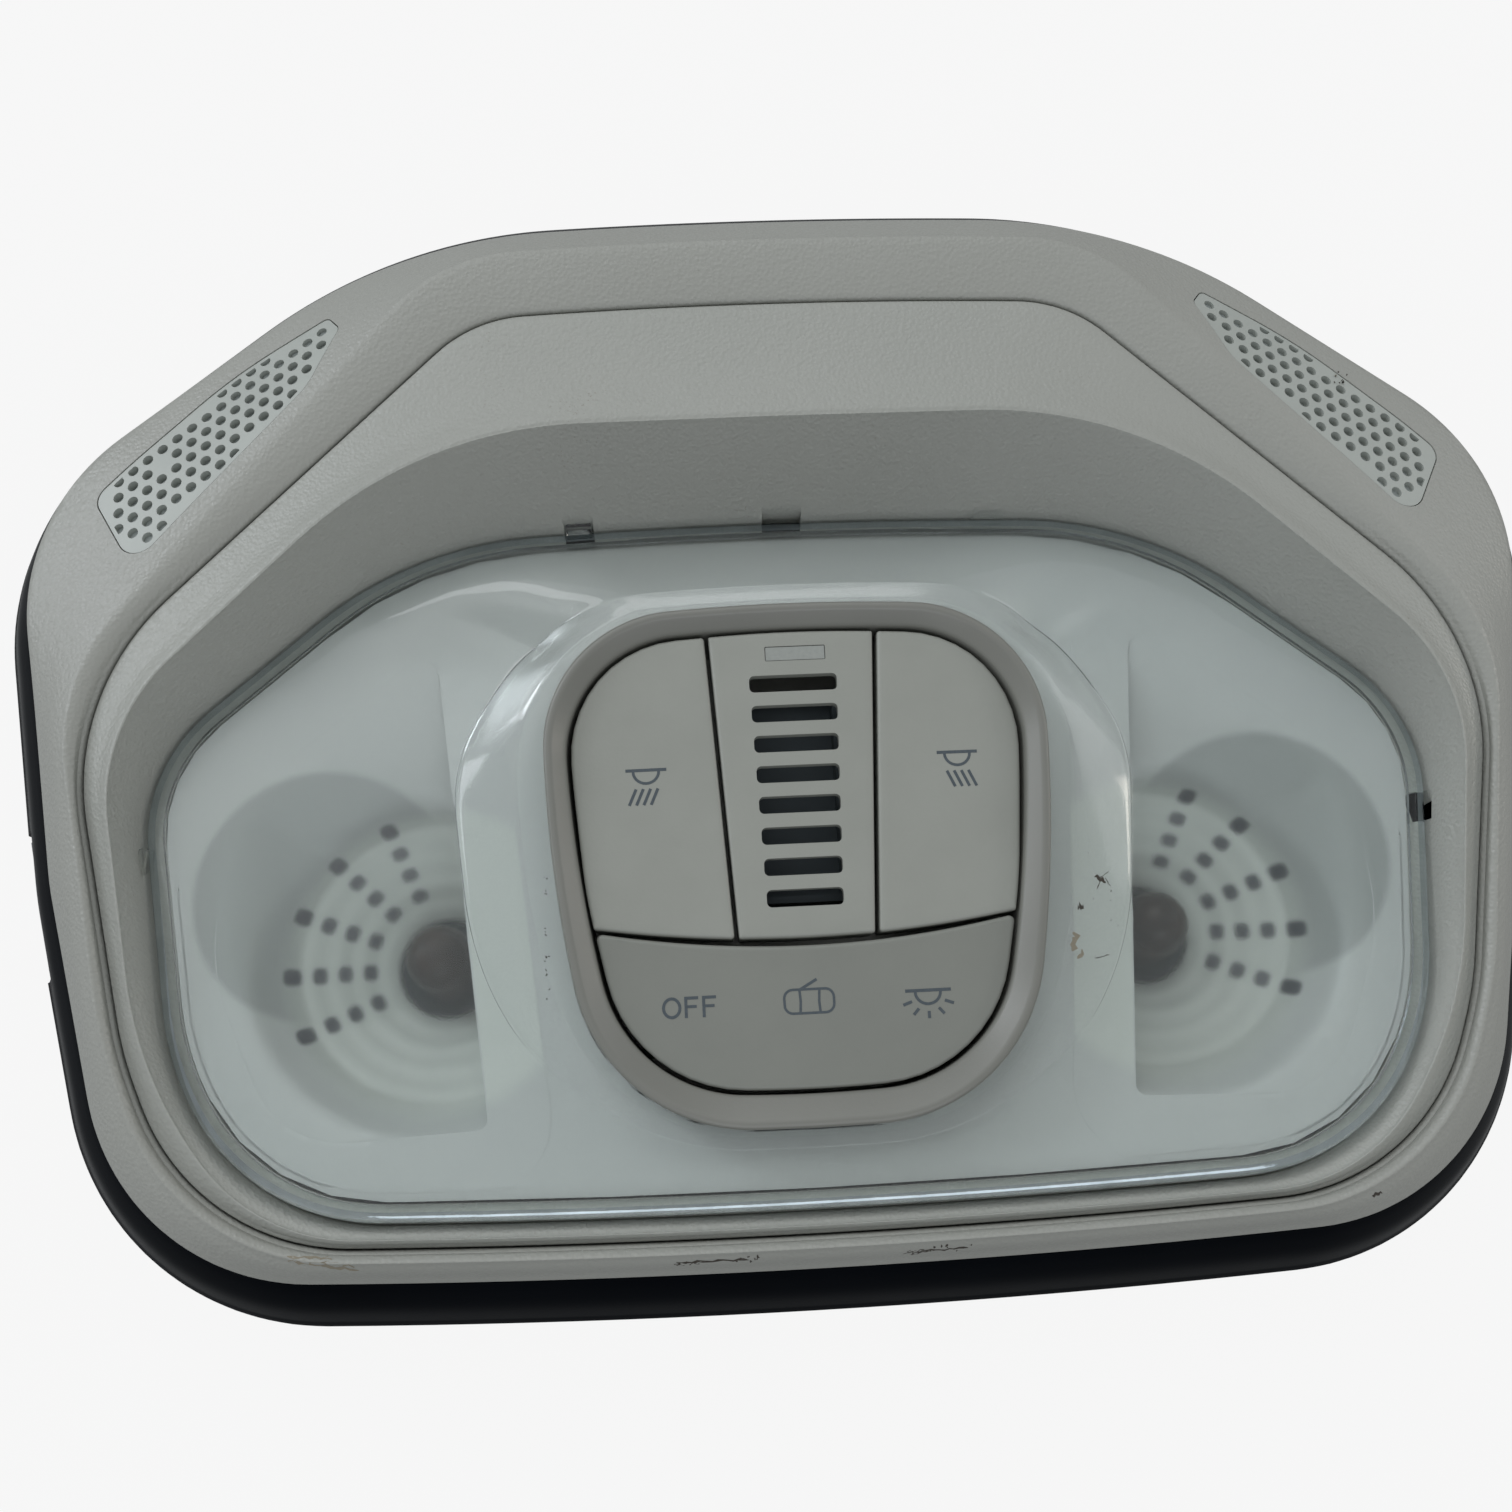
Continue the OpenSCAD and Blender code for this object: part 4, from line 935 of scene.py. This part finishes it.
# Centre bar
# Fixed bar between the keys, same paint: eight rounded slots for the buzzer and cooling air, and
# a small clear window for the night light above them.
bar_corner = meet(top_mid, right_top, lambda p: p[0] - bar_half(p[1]) + 0.31)
bar_foot = meet((5, 0), (15, 0), lambda p: p[0] - bar_half(bow(p[0], -35.1, 177)) + 0.31)[0]
half = [(0, play[0][1], 300), (bar_corner[0], bar_corner[1], 0.4), (bar_foot, bow(bar_foot, -35.1, 177), 0.4),
        (0, bow(0, -35.1, 177), 170)]
bar = cap("centre_bar", full(half), 37, "housing", ["centre_grille"])


def rounded(x, y, w, h, r):
    """Rectangle with rounded corners about x, y."""
    c = [(x + i * w / 2, y + j * h / 2, r) for i, j in ((-1, 1), (1, 1), (1, -1), (-1, -1))]
    return curve(c, 6)


carve(bar, [cutter(rounded(0, 2.1 - 4.5 * i, 12.9 - 0.27 * i, 2.5, 0.75), 36, 50) for i in range(8)]
      + [cutter(rounded(0.5, 6.6, 8.9, 2.2, 0.2), 43.2, 46)], 30)
baffle_dark = dark_moulding("black_baffle_foam", "#4c5458", "#565e62", 0.6, 1.2)
finish("slot_baffle", baffle_dark)

# Frosted acrylic: a little glossier than the paint round it
window_clear = mottled("frosted_window_pmma", "#9da09b", "#8c908c", (0.5, 2.0), Roughness=0.3, IOR=1.49)
finish("indicator_window", window_clear)


# Printed symbols
# Dark grey pad-printed pictograms on the keys: map lamps, OFF, open door and courtesy lamp; a
# thin matt print, worn a little unevenly.
ink = mottled("pad_print_dark_grey", "#3f474d", "#535b60", (0.4, 3.0), Roughness=0.45)


def film(name, lines, finish, body, height):
    """Thin film of lines (points, width or widths, closed) laid on a surface of given height."""
    points, faces = [], []
    for path, width, closed in lines:
        p = np.array(path, float)
        n = len(p)
        nxt = np.roll(p, -1, axis=0)
        prev = np.roll(p, 1, axis=0)
        if not closed:
            nxt[-1], prev[0] = 2 * p[-1] - p[-2], 2 * p[0] - p[1]
        along = (nxt - prev) / np.maximum(1e-6, np.hypot(*(nxt - prev).T))[:, None]
        side = np.column_stack((-along[:, 1], along[:, 0])) * np.broadcast_to(width, n)[:, None] / 2
        base = len(points)
        for a, b in zip(p + side, p - side):
            for q, lift in ((a, 0.03), (b, 0.03), (b, -0.02), (a, -0.02)):
                points.append((q[0], q[1], height(*q) + lift))
        for i in range(n if closed else n - 1):
            j = (i + 1) % n
            for k in range(4):
                m = (k + 1) % 4
                faces.append((base + 4 * i + k, base + 4 * i + m, base + 4 * j + m, base + 4 * j + k))
        if not closed:
            faces.append(tuple(base + k for k in range(4)))
            faces.append(tuple(base + 4 * (n - 1) + k for k in (3, 2, 1, 0)))
    return piece(name, points, faces, [finish], body, 30)


def print_on(name, lines, body):
    film(name, lines, ink, body, lambda x, y: key_z - crown(x))


def bowl_line(x, y, w, h, n=14):
    return [(x - w / 2 * math.cos(math.pi * i / n), y - h * math.sin(math.pi * i / n)) for i in range(n + 1)]


def map_lamp(x, y, lean):
    """Map lamp: bar with a bowl below and four rays that lean outward."""
    lines = [([(x - 2.95, y), (x + 2.95, y)], 0.45, False), (bowl_line(x, y - 0.2, 3.7, 1.75), 0.4, False)]
    for i in range(4):
        a = x + lean * (1.05 * i - 1.6)
        lines.append(([(a + lean * 0.1, y - 2.75), (a - lean * 0.95, y - 5.1)], 0.42, False))
    return lines


print_on("map_lamp_print_left", map_lamp(-22.0, -9.95, 1), "left_key")
print_on("map_lamp_print_right", map_lamp(23.3, -9.2, -1), "right_key")
letter_o = [(-19.6 + 1.15 * math.cos(a), -44.05 + 1.3 * math.sin(a))
            for a in np.linspace(0, math.tau, 25)[:-1]]
mode_lines = [(letter_o, 0.42, True)]
for x in (-17.6, -15.1):
    mode_lines += [([(x, -42.55), (x, -45.5)], 0.42, False), ([(x, -42.76), (x + 1.75, -42.76)], 0.42, False),
                   ([(x, -43.95), (x + 1.5, -43.95)], 0.4, False)]
mode_lines += [([(13.3, -43.3), (19.8, -43.3)], 0.45, False), (bowl_line(16.5, -43.5, 3.6, 1.7), 0.4, False)]
for angle in (-64, -33, 0, 33, 64):
    a = math.radians(angle)
    mode_lines.append(([(16.5 + 2.6 * math.sin(a), -43.7 - 2.5 * math.cos(a)),
                        (16.5 + 4.0 * math.sin(a), -43.7 - 3.5 * math.cos(a))],
                       0.42, False))
mode_lines += [(rounded(-0.3, -44.0, 7.0, 3.3, 1.2)[:-1], 0.35, True),
               ([(-1.6, -42.5), (-1.5, -44.0), (-1.6, -45.5)], 0.35, False),
               ([(1.2, -42.5), (1.1, -44.0), (1.2, -45.5)], 0.35, False),
               ([(-1.6, -42.4), (0.9, -41.0)], 0.4, False)]
print_on("mode_print", mode_lines, "mode_rocker")


# Grime
# Wear that the light has picked up: a dead insect, specks and a brown smear on the lens, dust on
# the edge of the ring, and dark scuffs along the bottom of the bezel and by the right grille.
def height_of(thing):
    """Height of the top of a piece at x, y, in mm."""
    def height(x, y):
        hit, met, _, _ = thing.ray_cast(Vector((x * mm, y * mm, 0.1)), Vector((0, 0, -1)))
        return met[2] / mm if hit else 40.0
    return height


dice = random.Random(11)


def ragged(x, y, length, angle, width, steps=7):
    """One ragged streak of dirt."""
    turn = math.radians(angle)
    path, widths = [], []
    for i in range(steps):
        t = (i / (steps - 1) - 0.5) * length
        off = dice.uniform(-0.5, 0.5) * width
        path.append((x + t * math.cos(turn) - off * math.sin(turn),
                     y + t * math.sin(turn) + off * math.cos(turn)))
        widths.append(width * dice.uniform(0.35, 1.3) * (0.3 if i in (0, steps - 1) else 1))
    return path, widths, False


def specks(count, x, y, dx, dy, size):
    return [ragged(x + dice.uniform(-dx, dx), y + dice.uniform(-dy, dy), size * dice.uniform(0.6, 2),
                   dice.uniform(0, 180), size * dice.uniform(0.5, 1), 5) for _ in range(count)]


# Dried dirt: matt and blotchy
dark_dirt = mottled("dried_dark_dirt", "#2b2723", "#4b443c", (0.5, 5.0, 0.7), Roughness=0.8)
brown_dirt = mottled("dried_brown_stain", "#7c7362", "#8f8a7c", (0.5, 5.0, 0.7), Roughness=0.8)
film("insect_and_specks", [ragged(43.4, -28.4, 1.9, -20, 0.62), ragged(43.9, -27.9, 2.3, 35, 0.16),
                           ragged(43.2, -29.0, 2.0, 60, 0.14), ragged(44.5, -28.9, 1.5, -60, 0.14),
                           ragged(39.9, -32.4, 0.9, 10, 0.75), ragged(42.6, -39.6, 2.4, 10, 0.13)]
     + specks(6, 44, -30, 3.5, 6, 0.14), dark_dirt, "housing", height_of(lens))
film("lens_smear", [ragged(38.6, -37.4, 2.6, 80, 0.9), ragged(39.3, -39.2, 1.6, 60, 0.5)], brown_dirt,
     "housing", height_of(lens))
film("bezel_scuffs", [ragged(-15.4, -78.5, 10, -1, 0.28, 15), ragged(-19.0, -78.7, 3.5, -2, 0.45, 9),
                      ragged(15.5, -78.8, 9, 2, 0.3, 15), ragged(13.0, -79.0, 3, 0, 0.55, 9),
                      ragged(78.2, -74.6, 1.6, 15, 0.4)]
     + specks(8, -12, -78.6, 4, 0.5, 0.3) + specks(7, 17, -78.7, 3.5, 0.5, 0.28)
     + specks(6, 89.8, 49.3, 1.6, 1.2, 0.3), dark_dirt, "housing", height_of(bezel))
film("bezel_stains", [ragged(-68.5, -75.8, 9, -8, 0.5, 13), ragged(-70, -74.9, 6, -6, 0.35, 9),
                      ragged(-66, -76.6, 5, -10, 0.4, 9), ragged(90, 49, 3.2, -40, 0.8, 9)],
     brown_dirt, "housing", height_of(bezel))
film("ring_dust", specks(16, -37.0, -33, 0.35, 9, 0.22), dark_dirt, "housing", height_of(lens))


# Switch works
# Behind the keys: carrier plate, steel pin, green circuit board with push switches, silicone
# domes, the plug socket and the fasteners.
for node, name, tone, shade, rough, metal in (
        ("switch_carrier", "natural_pom_carrier", "#c8c9c2", "#b9bab4", 0.5, 0.0),
        ("rocker_pin", "ground_steel_pin", "#b9bbbd", "#9a9c9e", 0.25, 1.0),
        ("circuit_board", "green_solder_mask", "#1d5a3a", "#164a2f", 0.35, 0.0),
        ("key_switches", "black_tact_switch", "#17191b", "#232628", 0.4, 0.0),
        ("switch_domes", "grey_silicone_dome", "#8a8d8c", "#7b7e7d", 0.6, 0.0),
        ("connector_socket", "natural_nylon_socket", "#d9d6c8", "#c9c6b8", 0.45, 0.0),
        ("spring_clips", "spring_steel_clip", "#8e9296", "#707478", 0.3, 1.0),
        ("housing_screws", "zinc_plated_screw", "#b4b6b2", "#8f918d", 0.35, 1.0)):
    made = mottled(name, tone, shade, (6, 5.0), (0.4, 2.0), (0.2, 0.04), Roughness=rough, Metallic=metal)
    finish(node, made)
